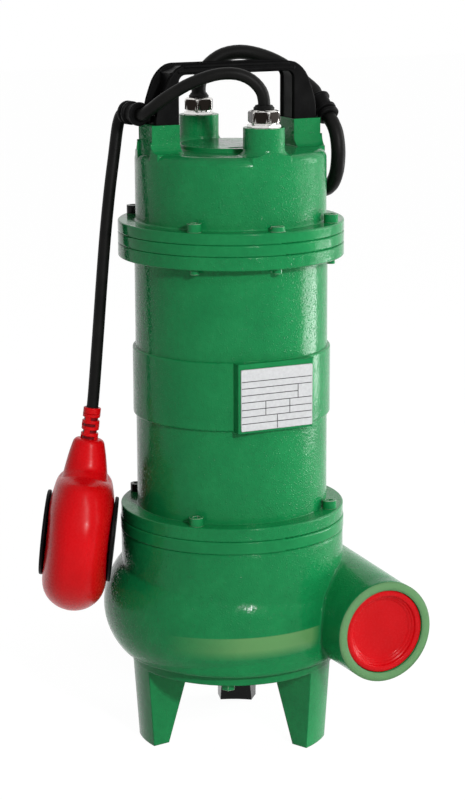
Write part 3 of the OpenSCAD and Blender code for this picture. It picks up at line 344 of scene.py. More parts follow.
def extrude_outline(bm, outline, y0, y1, round_by=0.0, where=Matrix()):
    """A plate from an outline of (x, z) millimetres between two depths, its rims rounded."""
    def ring(shift, y):
        pts = []
        n = len(outline)
        for i in range(n):
            p, a, b = Vector(outline[i]), Vector(outline[i - 1]), Vector(outline[(i + 1) % n])
            da, db = (p - a).normalized(), (b - p).normalized()
            na, nb = Vector((-da.y, da.x)), Vector((-db.y, db.x))
            m = (na + nb)
            m = m / max(m.length_squared / 2, 0.35)
            q = p + m * shift
            pts.append(bm.verts.new(where @ Vector((q.x * MM, y * MM, q.y * MM))))
        return pts

    shares = (0.0, 0.25, 0.5, 0.75, 1.0) if round_by else (0.0,)
    rings = []
    for end, way, order in ((y0, 1, shares), (y1, -1, reversed(shares))):
        for share in order:
            t = math.pi / 2 * share
            rings.append(ring(round_by * (1 - math.sin(t)), end + way * round_by * (1 - math.cos(t))))
    n = len(outline)
    for a, b in zip(rings, rings[1:]):
        for i in range(n):
            j = (i + 1) % n
            bm.faces.new((a[i], a[j], b[j], b[i]))
    bm.faces.new(rings[0])
    bm.faces.new(list(reversed(rings[-1])))


def arc(cx, cz, r, a0, a1, steps):
    """Points of (x, z) along an arc between two angles in degrees."""
    return [(cx + r * math.cos(math.radians(a0 + (a1 - a0) * k / steps)),
             cz + r * math.sin(math.radians(a0 + (a1 - a0) * k / steps))) for k in range(steps + 1)]


def catmull(points, parts):
    """A smooth curve through the points, with this many parts between each two."""
    p = [Vector(q) for q in points]
    out = []
    for i in range(len(p) - 1):
        a, b, c, d = p[max(i - 1, 0)], p[i], p[i + 1], p[min(i + 2, len(p) - 1)]
        for k in range(parts):
            t = k / parts
            out.append(0.5 * (2 * b + (c - a) * t + (2 * a - 5 * b + 4 * c - d) * t * t
                              + (3 * b - 3 * c + d - a) * t ** 3))
    return out + [p[-1]]


def curve_piece(name, points, diameter, mat, body, slot):
    """A round cable along points in metres, as one open spline that rides on a body."""
    cu = bpy.data.curves.new(name, "CURVE")
    cu.dimensions = "3D"
    cu.bevel_depth = diameter / 2
    cu.bevel_resolution = 5
    cu.use_fill_caps = True
    sp = cu.splines.new("POLY")
    sp.points.add(len(points) - 1)
    for q, p in zip(sp.points, points):
        q.co = (*p, 1)
    sp.use_smooth = True
    cu.materials.append(mat)
    ob = bpy.data.objects.new(name, cu)
    bpy.context.scene.collection.objects.link(ob)
    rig.ride(ob, body)
    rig.slot(ob, slot)
    return ob


def tube_mesh(bm, path, radius, sides):
    """A round tube along points in metres, closed at both ends; radius is a number, or a list of them."""
    pts = [Vector(p) for p in path]
    rings, side = [], None
    for i, p in enumerate(pts):
        t = (pts[min(i + 1, len(pts) - 1)] - pts[max(i - 1, 0)]).normalized()
        if side is None:
            side = t.orthogonal().normalized()
        side = (side - side.dot(t) * t).normalized()
        other = t.cross(side)
        r = radius[i] if isinstance(radius, list) else radius
        rings.append([bm.verts.new(p + r * (math.cos(2 * math.pi * k / sides) * side
                                            + math.sin(2 * math.pi * k / sides) * other))
                      for k in range(sides)])
    for a, b in zip(rings, rings[1:]):
        for k in range(sides):
            bm.faces.new((a[k], a[(k + 1) % sides], b[(k + 1) % sides], b[k]))
    bm.faces.new(list(reversed(rings[0])))
    bm.faces.new(rings[-1])


# --- materials ---------------------------------------------------------------------------

# the enamel's tones; then ground smooth, painted light on a face that the lamps light, and rubbed to bare metal
ENAMEL = [(0.30, (0.0060, 0.222, 0.064)), (0.55, (0.0090, 0.256, 0.074)), (0.75, (0.0140, 0.286, 0.086))]
ENAMEL_GROUND, ENAMEL_PAINTED_LIGHT, ENAMEL_RUBBED = (0.190, 0.410, 0.145), (0.150, 0.335, 0.140), (0.46, 0.58, 0.46)
# painted shade: nearly black, for what lies in deep shade
NEAR_BLACK_SHADE = (0.003, 0.004, 0.003)


def zone(nt, at, *limits):
    """1 inside every limit, fading to 0 outside. A limit is an axis letter and two places in millimetres:
    where the zone begins, and where it is full."""
    axis = node(nt, "ShaderNodeSeparateXYZ", [("Vector", at)])
    share = None
    for letter, start, full in limits:
        one = spread(nt, axis.outputs[letter.upper()], start * MM, full * MM, 0.0, 1.0)
        share = one if share is None else math_node(nt, "MULTIPLY", share, one)
    return share


def rubbed_and_highlit_edge(nt, soft, full, most):
    """The share by which an edge is lightened, up to most; the screws use it for rubbed bare metal, and the nuts for
    painted highlight. It grows as the rounded normal, soft, leaves the true one, and is greatest where their dot
    product is down to full."""
    true = nt.nodes.new("ShaderNodeNewGeometry").outputs["Normal"]
    apart = node(nt, "ShaderNodeVectorMath", operation="DOT_PRODUCT")
    nt.links.new(soft, apart.inputs[0])
    nt.links.new(true, apart.inputs[1])
    return spread(nt, apart.outputs["Value"], full, 0.995, most, 0.0)


def green_enamel(name, grain, smooth=None, radius=0.0009, painted_light=None, dark=None, tint=0.0, wear_and_sheen=False):
    """Green enamel on a casting. grain is the share of its sand grain, and radius rounds its edges. smooth,
    the zone of painted light, and dark are zones: ground smooth, and coloured by tint; coloured lighter as
    painted light; and nearly black as painted shade. The last flag rubs its edges to bare metal."""
    m, nt, b = material(name)
    at = place(nt)
    fine = noise(nt, at, 620, 2.0, 0.6)
    mid = noise(nt, at, 230, 2.0, 0.5)
    wide = noise(nt, at, 42, 2.0, 0.5)
    specks = spread(nt, noise(nt, at, 830, 1.0, 0.5), 0.58, 0.74, 0.0, 0.40)
    height = math_node(nt, "ADD", math_node(nt, "MULTIPLY", fine, 0.30), math_node(nt, "MULTIPLY", mid, 0.34))
    height = math_node(nt, "ADD", height, specks)
    tone = math_node(nt, "ADD", math_node(nt, "MULTIPLY", wide, 0.6), math_node(nt, "MULTIPLY", mid, 0.4))
    colour = ramp(nt, tone, ENAMEL)
    rough = spread(nt, mid, 0.3, 0.7, 0.09, 0.16)
    if smooth:
        share = zone(nt, at, *smooth)
        height = math_node(nt, "MULTIPLY", height, spread(nt, share, 0.0, 1.0, 1.0, 0.12))
        colour = mixed(nt, math_node(nt, "MULTIPLY", share, tint), colour, ENAMEL_GROUND)
    # painted light: this zone is coloured lighter, as a face that the lamps light
    if painted_light:
        share = zone(nt, at, *painted_light)
        colour = mixed(nt, share, colour, ENAMEL_PAINTED_LIGHT)
        rough = math_node(nt, "ADD", rough, math_node(nt, "MULTIPLY", share, 0.30))
    # painted shade: this zone is coloured nearly black
    if dark:
        colour = mixed(nt, zone(nt, at, *dark), colour, NEAR_BLACK_SHADE)
    soft = rounded(nt, radius)
    if wear_and_sheen:
        colour = mixed(nt, rubbed_and_highlit_edge(nt, soft, 0.92, 0.90), colour, ENAMEL_RUBBED)
    normal = bump(nt, height, 0.00042 * grain, 1.0, soft)
    nt.links.new(bump(nt, wide, 0.0010 * grain, 0.5, normal), b.inputs["Normal"])
    nt.links.new(colour, b.inputs["Base Color"])
    nt.links.new(rough, b.inputs["Roughness"])
    b.inputs["Specular IOR Level"].default_value = 0.13
    return m


def black_rubber():
    m, nt, b = material("black_rubber")
    at = place(nt)
    grain = noise(nt, at, 900, 3.0, 0.6)
    streak = noise(nt, at, 60, 2.0, 0.5)
    nt.links.new(bump(nt, grain, 0.00012, 0.7), b.inputs["Normal"])
    nt.links.new(ramp(nt, streak, [(0.35, (0.0042, 0.0042, 0.0040)), (0.7, (0.0085, 0.0084, 0.0078))]),
                 b.inputs["Base Color"])
    nt.links.new(spread(nt, streak, 0.3, 0.7, 0.36, 0.50), b.inputs["Roughness"])
    b.inputs["Specular IOR Level"].default_value = 0.09
    return m


def black_plastic():
    m, nt, b = material("black_plastic")
    at = place(nt)
    grain = noise(nt, at, 1400, 2.0, 0.5)
    wear = noise(nt, at, 90, 4.0, 0.6)
    nt.links.new(bump(nt, grain, 0.00010, 0.8, rounded(nt, 0.0007)), b.inputs["Normal"])
    nt.links.new(ramp(nt, wear, [(0.35, (0.0036, 0.0036, 0.0038)), (0.75, (0.0075, 0.0075, 0.0076))]),
                 b.inputs["Base Color"])
    nt.links.new(spread(nt, wear, 0.3, 0.7, 0.34, 0.48), b.inputs["Roughness"])
    b.inputs["Specular IOR Level"].default_value = 0.05
    return m


def red_plastic(name, rough, shade=1.0):
    m, nt, b = material(name)
    at = place(nt)
    peel = noise(nt, at, 620, 2.0, 0.55)
    wide = noise(nt, at, 40, 2.0, 0.5)
    nt.links.new(bump(nt, peel, 0.000035, 1.0, rounded(nt, 0.0005)), b.inputs["Normal"])
    deep, light = (0.76 * shade, 0.0022, 0.0052), (0.84 * shade, 0.0030, 0.0072)
    nt.links.new(ramp(nt, wide, [(0.3, deep), (0.7, light)]), b.inputs["Base Color"])
    nt.links.new(spread(nt, peel, 0.3, 0.7, rough - 0.04, rough + 0.08), b.inputs["Roughness"])
    b.inputs["Specular IOR Level"].default_value = 0.14
    return m


def metal(name, colour, rough, scratch=0.0001, scale=300, radius=0.0003):
    m, nt, b = material(name)
    at = place(nt)
    n = noise(nt, at, scale, 4.0, 0.6)
    nt.links.new(bump(nt, n, scratch, 0.6, rounded(nt, radius)), b.inputs["Normal"])
    dark = tuple(c * 0.82 for c in colour)
    nt.links.new(ramp(nt, n, [(0.3, dark), (0.7, colour)]), b.inputs["Base Color"])
    nt.links.new(spread(nt, n, 0.3, 0.7, rough * 0.8, rough * 1.25), b.inputs["Roughness"])
    b.inputs["Metallic"].default_value = 1.0
    return m


def painted_reflection_nickel():
    """Nickel plate with painted reflection: dark flats as painted dark reflection, and chamfers, edges and level faces
    painted bright as highlights.
    """
    m, nt, b = material("painted_reflection_nickel")
    coords = nt.nodes.new("ShaderNodeTexCoord")
    at = coords.outputs["Object"]
    grain = noise(nt, at, 500, 3.0, 0.6)
    soft = rounded(nt, 0.0006)
    edge = rubbed_and_highlit_edge(nt, soft, 0.95, 1.0)
    # level faces are painted bright too, as painted highlight
    facing = node(nt, "ShaderNodeSeparateXYZ", [("Vector", coords.outputs["Normal"])])
    lying = spread(nt, math_node(nt, "ABSOLUTE", facing.outputs["Z"], 0.0), 0.12, 0.35, 0.0, 1.0)
    # the share painted bright as highlight; the rest is painted dark as dark reflection
    wear_and_sheen = math_node(nt, "MAXIMUM", edge, lying)
    nt.links.new(mixed(nt, wear_and_sheen, (0.016, 0.013, 0.011), (0.72, 0.70, 0.67)), b.inputs["Base Color"])
    nt.links.new(spread(nt, grain, 0.3, 0.7, 0.12, 0.22), b.inputs["Roughness"])
    nt.links.new(bump(nt, grain, 0.00008, 0.6, soft), b.inputs["Normal"])
    b.inputs["Metallic"].default_value = 1.0
    return m


def plain(name, colour, rough, scale=400, depth=0.00008, radius=0.0004):
    m, nt, b = material(name)
    at = place(nt)
    n = noise(nt, at, scale, 3.0, 0.55)
    nt.links.new(bump(nt, n, depth, 0.6, rounded(nt, radius)), b.inputs["Normal"])
    dark = tuple(c * 0.88 for c in colour)
    nt.links.new(ramp(nt, n, [(0.3, dark), (0.7, colour)]), b.inputs["Base Color"])
    nt.links.new(spread(nt, n, 0.3, 0.7, rough * 0.85, rough * 1.15), b.inputs["Roughness"])
    return m


# zones of the green pieces, in millimetres
COVER_FLANGE = [("z", 372, 372.2), ("z", 380.7, 380.5)]
BELLY_BAND = [("z", 79, 87), ("z", 97.3, 96.5), ("x", -75, -30), ("x", 33, 24)]
# the outlet's face, coloured lighter as painted light
OUTLET_FACE_PAINTED_LIGHT = [("y", -101.5, -101.7)]
# the rear leg below 39.7 mm, painted nearly black as painted shade
REAR_LEG_PAINTED_SHADE = [("y", 21.5, 22), ("z", 39.7, 39.4)]
# the screws at the back left, painted nearly black as painted shade
BACK_LEFT_SCREWS_PAINTED_SHADE = [("x", -29.5, -30), ("y", 19.5, 20)]

GREEN = green_enamel("green_cast", 1.0)
GREEN_COVER = green_enamel("green_cover", 1.0, COVER_FLANGE)
GREEN_VOLUTE = green_enamel("green_volute", 1.0, BELLY_BAND, 0.0045, painted_light=OUTLET_FACE_PAINTED_LIGHT, tint=0.75)
GREEN_CASING = green_enamel("green_casing", 0.85)
GREEN_RIM = green_enamel("green_rim", 0.16, radius=0.0008)
# the rear leg's lower part is painted nearly black as painted shade
GREEN_LEG = green_enamel("green_leg", 0.35, radius=0.0014, dark=REAR_LEG_PAINTED_SHADE)
# the back left screws are painted nearly black as painted shade
GREEN_SCREW = green_enamel("green_screws", 0.3, radius=0.0006, dark=BACK_LEFT_SCREWS_PAINTED_SHADE, wear_and_sheen=True)
RUBBER = black_rubber()
BLACK = black_plastic()
RED = red_plastic("red_float", 0.26)
# dark red for the relief's sleeve: painted shade in the gaps between its rings
RED_PAINTED_SHADE = red_plastic("red_relief", 0.42, 0.22)
RED_PLUG = red_plastic("red_plug", 0.24, 0.84)
CHROME = metal("nickel_plate", (0.78, 0.77, 0.75), 0.13)
STEEL = metal("steel", (0.62, 0.61, 0.60), 0.28)
NUT_PAINTED_REFLECTION = painted_reflection_nickel()
LAMINATION = metal("laminations", (0.30, 0.30, 0.31), 0.45, 0.0003, 900)
ALUMINIUM = metal("cast_aluminium", (0.72, 0.72, 0.73), 0.40)
COPPER = metal("copper_wire", (0.78, 0.34, 0.14), 0.35, 0.0004, 700)
IRON = plain("bare_iron", (0.060, 0.062, 0.065), 0.55, 300, 0.0005)
IVORY = plain("ivory_plastic", (0.72, 0.66, 0.50), 0.45)
CERAMIC = plain("ceramic", (0.78, 0.74, 0.66), 0.20)
PLATE = plain("plate_face", (0.74, 0.75, 0.76), 0.38, 500, 0.00003)
INK = plain("grid_ink", (0.012, 0.012, 0.013), 0.5)

SLOT_LOOK = {
    "cast_green": GREEN, "steel": STEEL, "chrome": CHROME,
    "rubber_black": RUBBER, "cable_rubber": RUBBER, "plastic_black": BLACK, "plastic_red": RED,
    "plastic_ivory": IVORY, "plate_aluminium": PLATE, "lamination_steel": LAMINATION,
    "rotor_aluminium": ALUMINIUM, "copper_wire": COPPER, "impeller_iron": IRON, "ceramic": CERAMIC,
}
NODE_LOOK = {
    "volute_casing": GREEN_VOLUTE, "motor_casing": GREEN_CASING, "seal_plate": GREEN_RIM,
    "upper_bearing_plate": GREEN_RIM, "base_stand": GREEN_LEG, "lower_flange_screws": GREEN_SCREW,
    "port_plug": RED_PLUG, "float_strain_relief": RED_PAINTED_SHADE, "top_cover": GREEN_COVER,
    "top_flange_screws": GREEN_SCREW, "flange_pan_screw": GREEN_SCREW, "base_screws": GREEN_SCREW,
}
for part in frame["record"]["subparts"]:
    cad = NODES[part["node"]]
    cad.data.materials.clear()
    cad.data.materials.append(NODE_LOOK.get(part["node"], SLOT_LOOK[part["material_slot"]]))


# --- cables --------------------------------------------------------------------------------

POWER_D, FLOAT_D = 10.4, 8.4
GLAND_Y, BLOCK_TOP = 53.0, 449.0
CLIP_Z, CLIP_L = BLOCK_TOP + 6, 18.0
FLOAT_CLIP, FLOAT_TURN = Vector((-69.5, -2, CLIP_Z + 1.5)), math.radians(8)
POWER_CLIP, POWER_TURN, POWER_DIP = Vector((72, 6, CLIP_Z + 6)), math.radians(8), math.radians(42)
FLOAT_DIR = Vector((-math.sin(FLOAT_TURN), math.cos(FLOAT_TURN), 0))
POWER_DIR = Vector((math.sin(POWER_TURN) * math.cos(POWER_DIP),
                    -math.cos(POWER_TURN) * math.cos(POWER_DIP), -math.sin(POWER_DIP)))

POWER_RISE = [(0, 0, 7), (0, 0, 14), (0, 0, 20), (2, -1, 28), (8, -3, 36), (17, -6, 42), (28, -11, 44)]
POWER_REACH = [(-33, 30, 30), (-23, 22, 25.5), (-14, 16, 19), (-7, 11.5, 12)]
POWER_LOOP = [(3, -22.5, -22.5), (3.2, -25, -31), (3.2, -25.5, -40), (3.4, -23, -50), (3.8, -17, -58),
              (4.5, -9, -63), (5.5, 1, -66), (6, 12, -68.5), (6.5, 23, -72), (6, 33, -77.5), (5.5, 43, -86),
              (6.5, 51, -99), (9, 56, -116), (14, 59, -146)]
POWER_DOWN = [(90, 66, 280), (95, 66, 230), (101, 66, 180), (109, 66, 125), (117, 66, 85), (122, 67, 56),
              (125, 70, 36), (129.5, 79, 18), (135, 90, 8)]
over_power = Vector((0, GLAND_Y, BLOCK_TOP))
power_route = [over_power + Vector(p) for p in POWER_RISE] + [POWER_CLIP + Vector(p) for p in POWER_REACH]
power_fall = [POWER_CLIP + Vector(p) for p in POWER_LOOP] + POWER_DOWN
# the coil's middle, the angle of its start in degrees and its middle radius
COIL_CENTRE, COIL_START, COIL_MID = (91, 173), -25.4, 60
# turns in a layer, turns that climb to the next layer, layers, turns left off the end, points to a turn
COIL_TURNS, COIL_CLIMB, COIL_LAYERS, COIL_SHORT, COIL_STEPS = 2.5, 0.5, 4, 1.1, 24
COIL_PITCH, COIL_LIFT = POWER_D + 2.2, POWER_D + 0.6
COIL_PERIOD = COIL_TURNS + COIL_CLIMB
COIL_IN, COIL_OUT = COIL_MID - COIL_TURNS * COIL_PITCH / 2, COIL_MID + COIL_TURNS * COIL_PITCH / 2


def coil_point(t):
    """The coil after t turns: inwards and outwards by turns, with a climb at the end of each layer."""
    layer = min(math.floor(t / COIL_PERIOD), COIL_LAYERS - 1)
    part = t - layer * COIL_PERIOD
    share = min(part / COIL_TURNS, 1)
    r = COIL_OUT - share * (COIL_OUT - COIL_IN) if layer % 2 == 0 else COIL_IN + share * (COIL_OUT - COIL_IN)
    z = POWER_D / 2 + 0.1 + COIL_LIFT * (layer + max(part - COIL_TURNS, 0) / COIL_CLIMB)
    a = math.radians(COIL_START + 360 * t)
    return Vector((COIL_CENTRE[0] + r * math.cos(a), COIL_CENTRE[1] + r * math.sin(a), z))


def power_points():
    """The mains cable from its gland through its clip and down to the end of its coil, in metres."""
    entry = Vector((math.sin(math.radians(-COIL_START)), math.cos(math.radians(COIL_START)), 0))
    mouth = coil_point(0) - 4 * entry
    through = [POWER_CLIP + s * POWER_DIR for s in (-8, -2, CLIP_L / 2, CLIP_L + 2, CLIP_L + 7)]
    lead = catmull([*power_route, *through, *power_fall, mouth - 30 * entry, mouth - 16 * entry,
                    mouth - 8 * entry, mouth], 3)
    total = (COIL_LAYERS * COIL_PERIOD - COIL_SHORT) * COIL_STEPS
    coil = [coil_point(i / COIL_STEPS) for i in range(int(total) + 1)]
    return [p * MM for p in lead + coil]


power_path = power_points()
mains = curve_piece("mains_cable", power_path, POWER_D * MM, RUBBER, "pump", "cable_rubber")
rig.replaces(mains, "power_cable", "power_cable_coil")

FLOAT_RISE = [(0, 0, 7), (0, 0, 13), (0, 0, 18), (-2, 0.5, 25), (-8, 3, 32), (-17, 7, 36), (-28, 12, 36)]
FLOAT_REACH = [(31.5, -34, 25.5), (22.5, -28, 21), (14.5, -23, 15.5), (8.5, -18, 10.5), (3.5, -11.5, 4.5)]
over_float = Vector((0, -GLAND_Y, BLOCK_TOP))
float_route = [over_float + Vector(p) for p in FLOAT_RISE] + [FLOAT_CLIP + Vector(p) for p in FLOAT_REACH]
float_tail = [FLOAT_CLIP - 3 * FLOAT_DIR, FLOAT_CLIP + 4 * FLOAT_DIR, FLOAT_CLIP + (CLIP_L - 0.3) * FLOAT_DIR]
float_path = [p * MM for p in catmull([*float_route, *float_tail], 3)]
lead_piece = curve_piece("float_lead", float_path, FLOAT_D * MM, RUBBER, "pump", "cable_rubber")
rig.replaces(lead_piece, "float_cable_lead")


# --- float: lead, relief, shell and caps ------------------------------------------------------

FLOAT_LEAN, FLOAT_FACE, FLOAT_DROP = math.radians(7.39171), math.radians(-25), 209.0
RELIEF_L, BODY_T, BODY_R, CAP_D, CAP_T = 27.0, 46.0, 54.0, 61.0, 2.5
RELIEF_SUNK, NECK_L, NECK_IN_BODY, SEAM_RISE = 3, 39, 23, 5.5
NECK_S = FLOAT_DROP + RELIEF_L - RELIEF_SUNK
BODY_S = NECK_S + NECK_L + BODY_R - NECK_IN_BODY
PIVOT = FLOAT_CLIP + (CLIP_L + FLOAT_D / 2 + 0.4) * FLOAT_DIR
FLOAT_AT = (Matrix.Translation(PIVOT * MM) @ Matrix.Rotation(FLOAT_LEAN, 4, "Y")
            @ Matrix.Rotation(FLOAT_FACE, 4, "Z") @ Matrix.Rotation(math.pi, 4, "X"))


def float_drop_piece():
    """The lead from its clip down to the float; it bends at the clip as the float lifts."""
    down = Vector((-math.sin(FLOAT_LEAN), 0, -math.cos(FLOAT_LEAN)))
    mouth = FLOAT_CLIP + CLIP_L * FLOAT_DIR
    held = [FLOAT_CLIP + 9 * FLOAT_DIR, mouth - 2 * FLOAT_DIR, mouth + 2.5 * FLOAT_DIR]
    bend = [mouth + Vector(p) for p in ((-1.3, 7.2, -2.6), (-2.2, 9.6, -7.6), (-3.4, 10.2, -14.5))]
    # distance below the pivot, and how far the lead bows to the left and backwards there
    bows = [(30, 1.6, 4.6), (55, 2.8, 3.0), (85, 3.2, 1.6), (120, 2.6, 0.6), (155, 1.5, 0.1), (185, 0.5, 0),
            (203, 0, 0), (FLOAT_DROP + 6, 0, 0)]
    hang = [PIVOT + s * down + Vector((-bow, back, 0)) for s, bow, back in bows]
    path = [p * MM for p in catmull([*held, *bend, *hang], 5)]
    bm = bmesh.new()
    tube_mesh(bm, path, FLOAT_D / 2 * MM, 24)
    ob = finish_mesh("float_drop", bm, RUBBER, None, "cable_rubber", 50, ["float_cable_drop"])
    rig.blend(ob, "pump", "float", start=mouth * MM, end=(mouth + Vector((-4, 9, -30))) * MM)
    return ob, path


drop_piece, drop_path = float_drop_piece()


def superellipse(t, w, power, steps=64):
    out = []
    for k in range(steps):
        a = 2 * math.pi * k / steps
        c, s = math.cos(a), math.sin(a)
        out.append((t * math.copysign(abs(c) ** (2 / power), c), w * math.copysign(abs(s) ** (2 / power), s)))
    return out


def float_shell_piece():
    """Lofted bottle shape. A row is a place along its axis, from the neck down, with the half thickness,
    half width and power of the superellipse there."""
    rows = [(-1.2, 6.9, 6.9, 2), (-1.2, 8.6, 8.6, 2), (-0.6, 9.9, 9.9, 2), (0.6, 10.9, 10.9, 2),
            (2.0, 11.4, 11.4, 2), (6, 12.4, 12.4, 2), (12, 13.7, 13.9, 2.1), (18, 14.8, 15.6, 2.2),
            (22, 15.4, 17.0, 2.2), (25.5, 16.0, 19.2, 2.3), (27.6, 16.5, 21.6, 2.3), (28.3, 16.7, 22.5, 2.3),
            (28.6, 17.9, 24.0, 2.3), (29.2, 18.8, 26.0, 2.3)]
    body_places = (31, 34, 37, 40, 44, 48, 52, 57, 63, 70, 77, 84, 91, 97, 102, 107, 111, 114.5, 117.5, 120,
                   122, 123.4, 124.3)
    for s in body_places:
        u = s + NECK_S - BODY_S
        wide = math.sqrt(max(BODY_R ** 2 - u ** 2, 0.5))
        run = abs(u) - (BODY_R - BODY_T / 2)
        thick = BODY_T / 2 if run < 0 else math.sqrt(max((BODY_T / 2) ** 2 - run ** 2, 0.3))
        if u < 0:
            thick = min(thick, 19.6 + 3.4 * min(1, max(0, (s - 30) / 16)) ** 0.8)
        power = 2.3 + 0.5 * min(1, max(0, (s - 30) / 20))
        if u > 30:
            power = 2.8 - 0.8 * min(1, (u - 30) / 24)
        rows.append((s, thick, wide, power))
    bm = bmesh.new()
    rings = []
    for s, t, w, p in rows:
        # the seam below the neck is lowest in the middle of both broad faces
        rise = SEAM_RISE * min(1, max(0, (s - 18) / 7.5)) * min(1, max(0, (44 - s) / 13))
        ring = [(x * MM, y * MM, (NECK_S + s - rise * (y / w) ** 2) * MM) for x, y in superellipse(t, w, p)]
        rings.append([bm.verts.new(FLOAT_AT @ Vector(q)) for q in ring])
    for a, b in zip(rings, rings[1:]):
        for k in range(len(a)):
            j = (k + 1) % len(a)
            bm.faces.new((a[k], a[j], b[j], b[k]))
    bm.faces.new(rings[-1])
    bm.faces.new(list(reversed(rings[0])))
    ob = finish_mesh("float_body", bm, RED, "float", "plastic_red", 40, ["float_shell"])
    sub = ob.modifiers.new("smooth", "SUBSURF")
    sub.levels = sub.render_levels = 1


def float_caps():
    bm = bmesh.new()
    r = CAP_D / 2
    profile = [(0, 1.6), (8, 1.6), (8.6, 2.2), (r - 6.5, 2.2), (r - 5.6, 1.5), (r - 3.4, 1.5),
               (r - 2.6, CAP_T), (r - 0.9, CAP_T), (r - 0.2, CAP_T - 0.3), (r, CAP_T - 1), (r, 0.5),
               (r - 0.4, 0), (0, 0)]
    for side in (-1, 1):
        at = (FLOAT_AT @ Matrix.Translation((0, 0, BODY_S * MM)) @ Matrix.Rotation(side * math.pi / 2, 4, "Y")
              @ Matrix.Translation((0, 0, (BODY_T / 2 + 0.02) * MM)))
        lathe(bm, profile, at, 96)
    finish_mesh("float_caps", bm, BLACK, "float", "plastic_black", 30, ["float_side_caps"])


def relief():
    """Ribbed sleeve whose rings are joined by staggered bridges, riding on the float."""
    bm = bmesh.new()
    at = FLOAT_AT @ Matrix.Translation((0, 0, (FLOAT_DROP + 0.05) * MM))
    bore, core, out = 4.3, 4.9, 6.2
    lathe(bm, [(bore, 0), (core, 0), (core, RELIEF_L), (bore, RELIEF_L), (bore, 0)], at, 48)
    sleeve_faces = len(bm.faces)
    rings = 6
    step = RELIEF_L / rings
    for i in range(rings):
        z0, z1 = i * step + 0.3, i * step + (0.52 if i else 0.95) * step + 0.3
        lathe(bm, [(core - 0.4, z0), (out - 0.35, z0), (out, z0 + 0.35), (out, z1 - 0.35), (out - 0.35, z1),
                   (core - 0.4, z1), (core - 0.4, z0)], at, 48)
        for side in (0, 1):
            turn = at @ Matrix.Rotation(math.radians(90 * (i % 2) + 180 * side + 20), 4, "Z")
            if i < rings - 1:
                lo, hi = (core - 0.4, -1.9), (out - 0.25, 1.9)
                box = [Vector((x * MM, y * MM, z * MM)) for z in (z1 - 0.3, z0 + step + 0.3)
                       for x, y in ((lo[0], lo[1]), (hi[0], lo[1]), (hi[0], hi[1]), (lo[0], hi[1]))]
                v = [bm.verts.new(turn @ p) for p in box]
                for f in ((0, 1, 2, 3), (7, 6, 5, 4), (0, 4, 5, 1), (1, 5, 6, 2), (2, 6, 7, 3), (3, 7, 4, 0)):
                    bm.faces.new([v[k] for k in f])
    ob = finish_mesh("float_relief", bm, RED_PAINTED_SHADE, "float", "plastic_red", 35, ["float_strain_relief"])
    # the sleeve between the rings is painted dark red as painted shade; the rings take the plain red
    ob.data.materials.append(RED)
    for face in list(ob.data.polygons)[sleeve_faces:]:
        face.material_index = 1


float_shell_piece()
float_caps()
relief()


# --- handle and clips ---------------------------------------------------------------------------

HANDLE_W, HANDLE_D, HANDLE_H = 122.0, 23.0, 40.0
BAR_T, LEG_W, RIB, FOOT_T, WEB, BEAD = 5.4, 16.0, 3.5, 6.0, 4.0, 0.6


def handle_piece():
    """Two thin ribs over the whole arch with a web between them, so its legs are channels open outwards."""
    foot, top, half = HANDLE_W / 2, HANDLE_H, HANDLE_D / 2
    inner, under = foot - LEG_W, top - BAR_T
    bend = 6
    outer = [(foot, 0.0), (foot, 6), (60.4, 12), (59.3, 16.5), (57.9, 20.8), (56.4, 25), (54.8, 29),
             (52.9, 32.2), (50.6, 35.0), (47.8, 37.4), (44.9, 39.1), (42.0, top - 0.2), (40.0, top)]
    corner = list(reversed(arc(inner - bend, under - bend, bend, 0, 90, 7)))
    inside = [(0.0, under)] + corner + [(inner, 14), (inner, 0.0)]
    back = [(-x, z) for x, z in reversed(inside[:-1])] + inside[1:]
    left = [(-x, z) for x, z in reversed(outer)]
    # the front rib is cut back along its left leg
    cut = [(-40.0, top), (-41.0, top - 0.9), (-44.5, top - 2.6), (-47.8, top - 5.4), (-50.6, top - 9.0),
           (-53.2, 26.0), (-55.8, 20.5), (-58.0, 15.0), (-59.8, 9.5), (-60.8, 4.5), (-foot, 0.0)]
    back = [(-inner, 0.0)] + back
    at = Matrix.Translation((0, 0, BLOCK_TOP * MM))
    bm = bmesh.new()
    for y0, y1, side in ((-half + BEAD, -half + RIB, cut), (half - RIB, half - BEAD, left)):
        extrude_outline(bm, list(reversed(outer + side + back)), y0, y1, 0.8, at)
    web = inner + WEB
    core_outer = [(foot - 0.4, 0.0), (foot - 0.4, FOOT_T), (web + 0.6, FOOT_T), (web, under - 4),
                  (web + 1.0, under + 0.5), (42.5, under + 3.0), (40.0, top - 1.0)]
    core = core_outer + [(-x, z) for x, z in reversed(core_outer)] + back
    extrude_outline(bm, list(reversed(core)), -half + RIB - 0.6, half - RIB + 0.6, 0.0, at)
    # two beads along the bar on each face, proud of its ribs
    for lo, hi, reach in ((top - 1.25, top - 0.05, 40.0), (under + 0.9, under + 2.2, 44.5)):
        band = [(reach, lo), (reach, hi), (-reach, hi), (-reach, lo)]
        for y0, y1 in ((-half, -half + 2), (half - 2, half)):
            extrude_outline(bm, list(reversed(band)), y0, y1, 0.4, at)
    finish_mesh("carry_handle", bm, BLACK, "pump", "plastic_black", 32, ["handle"])


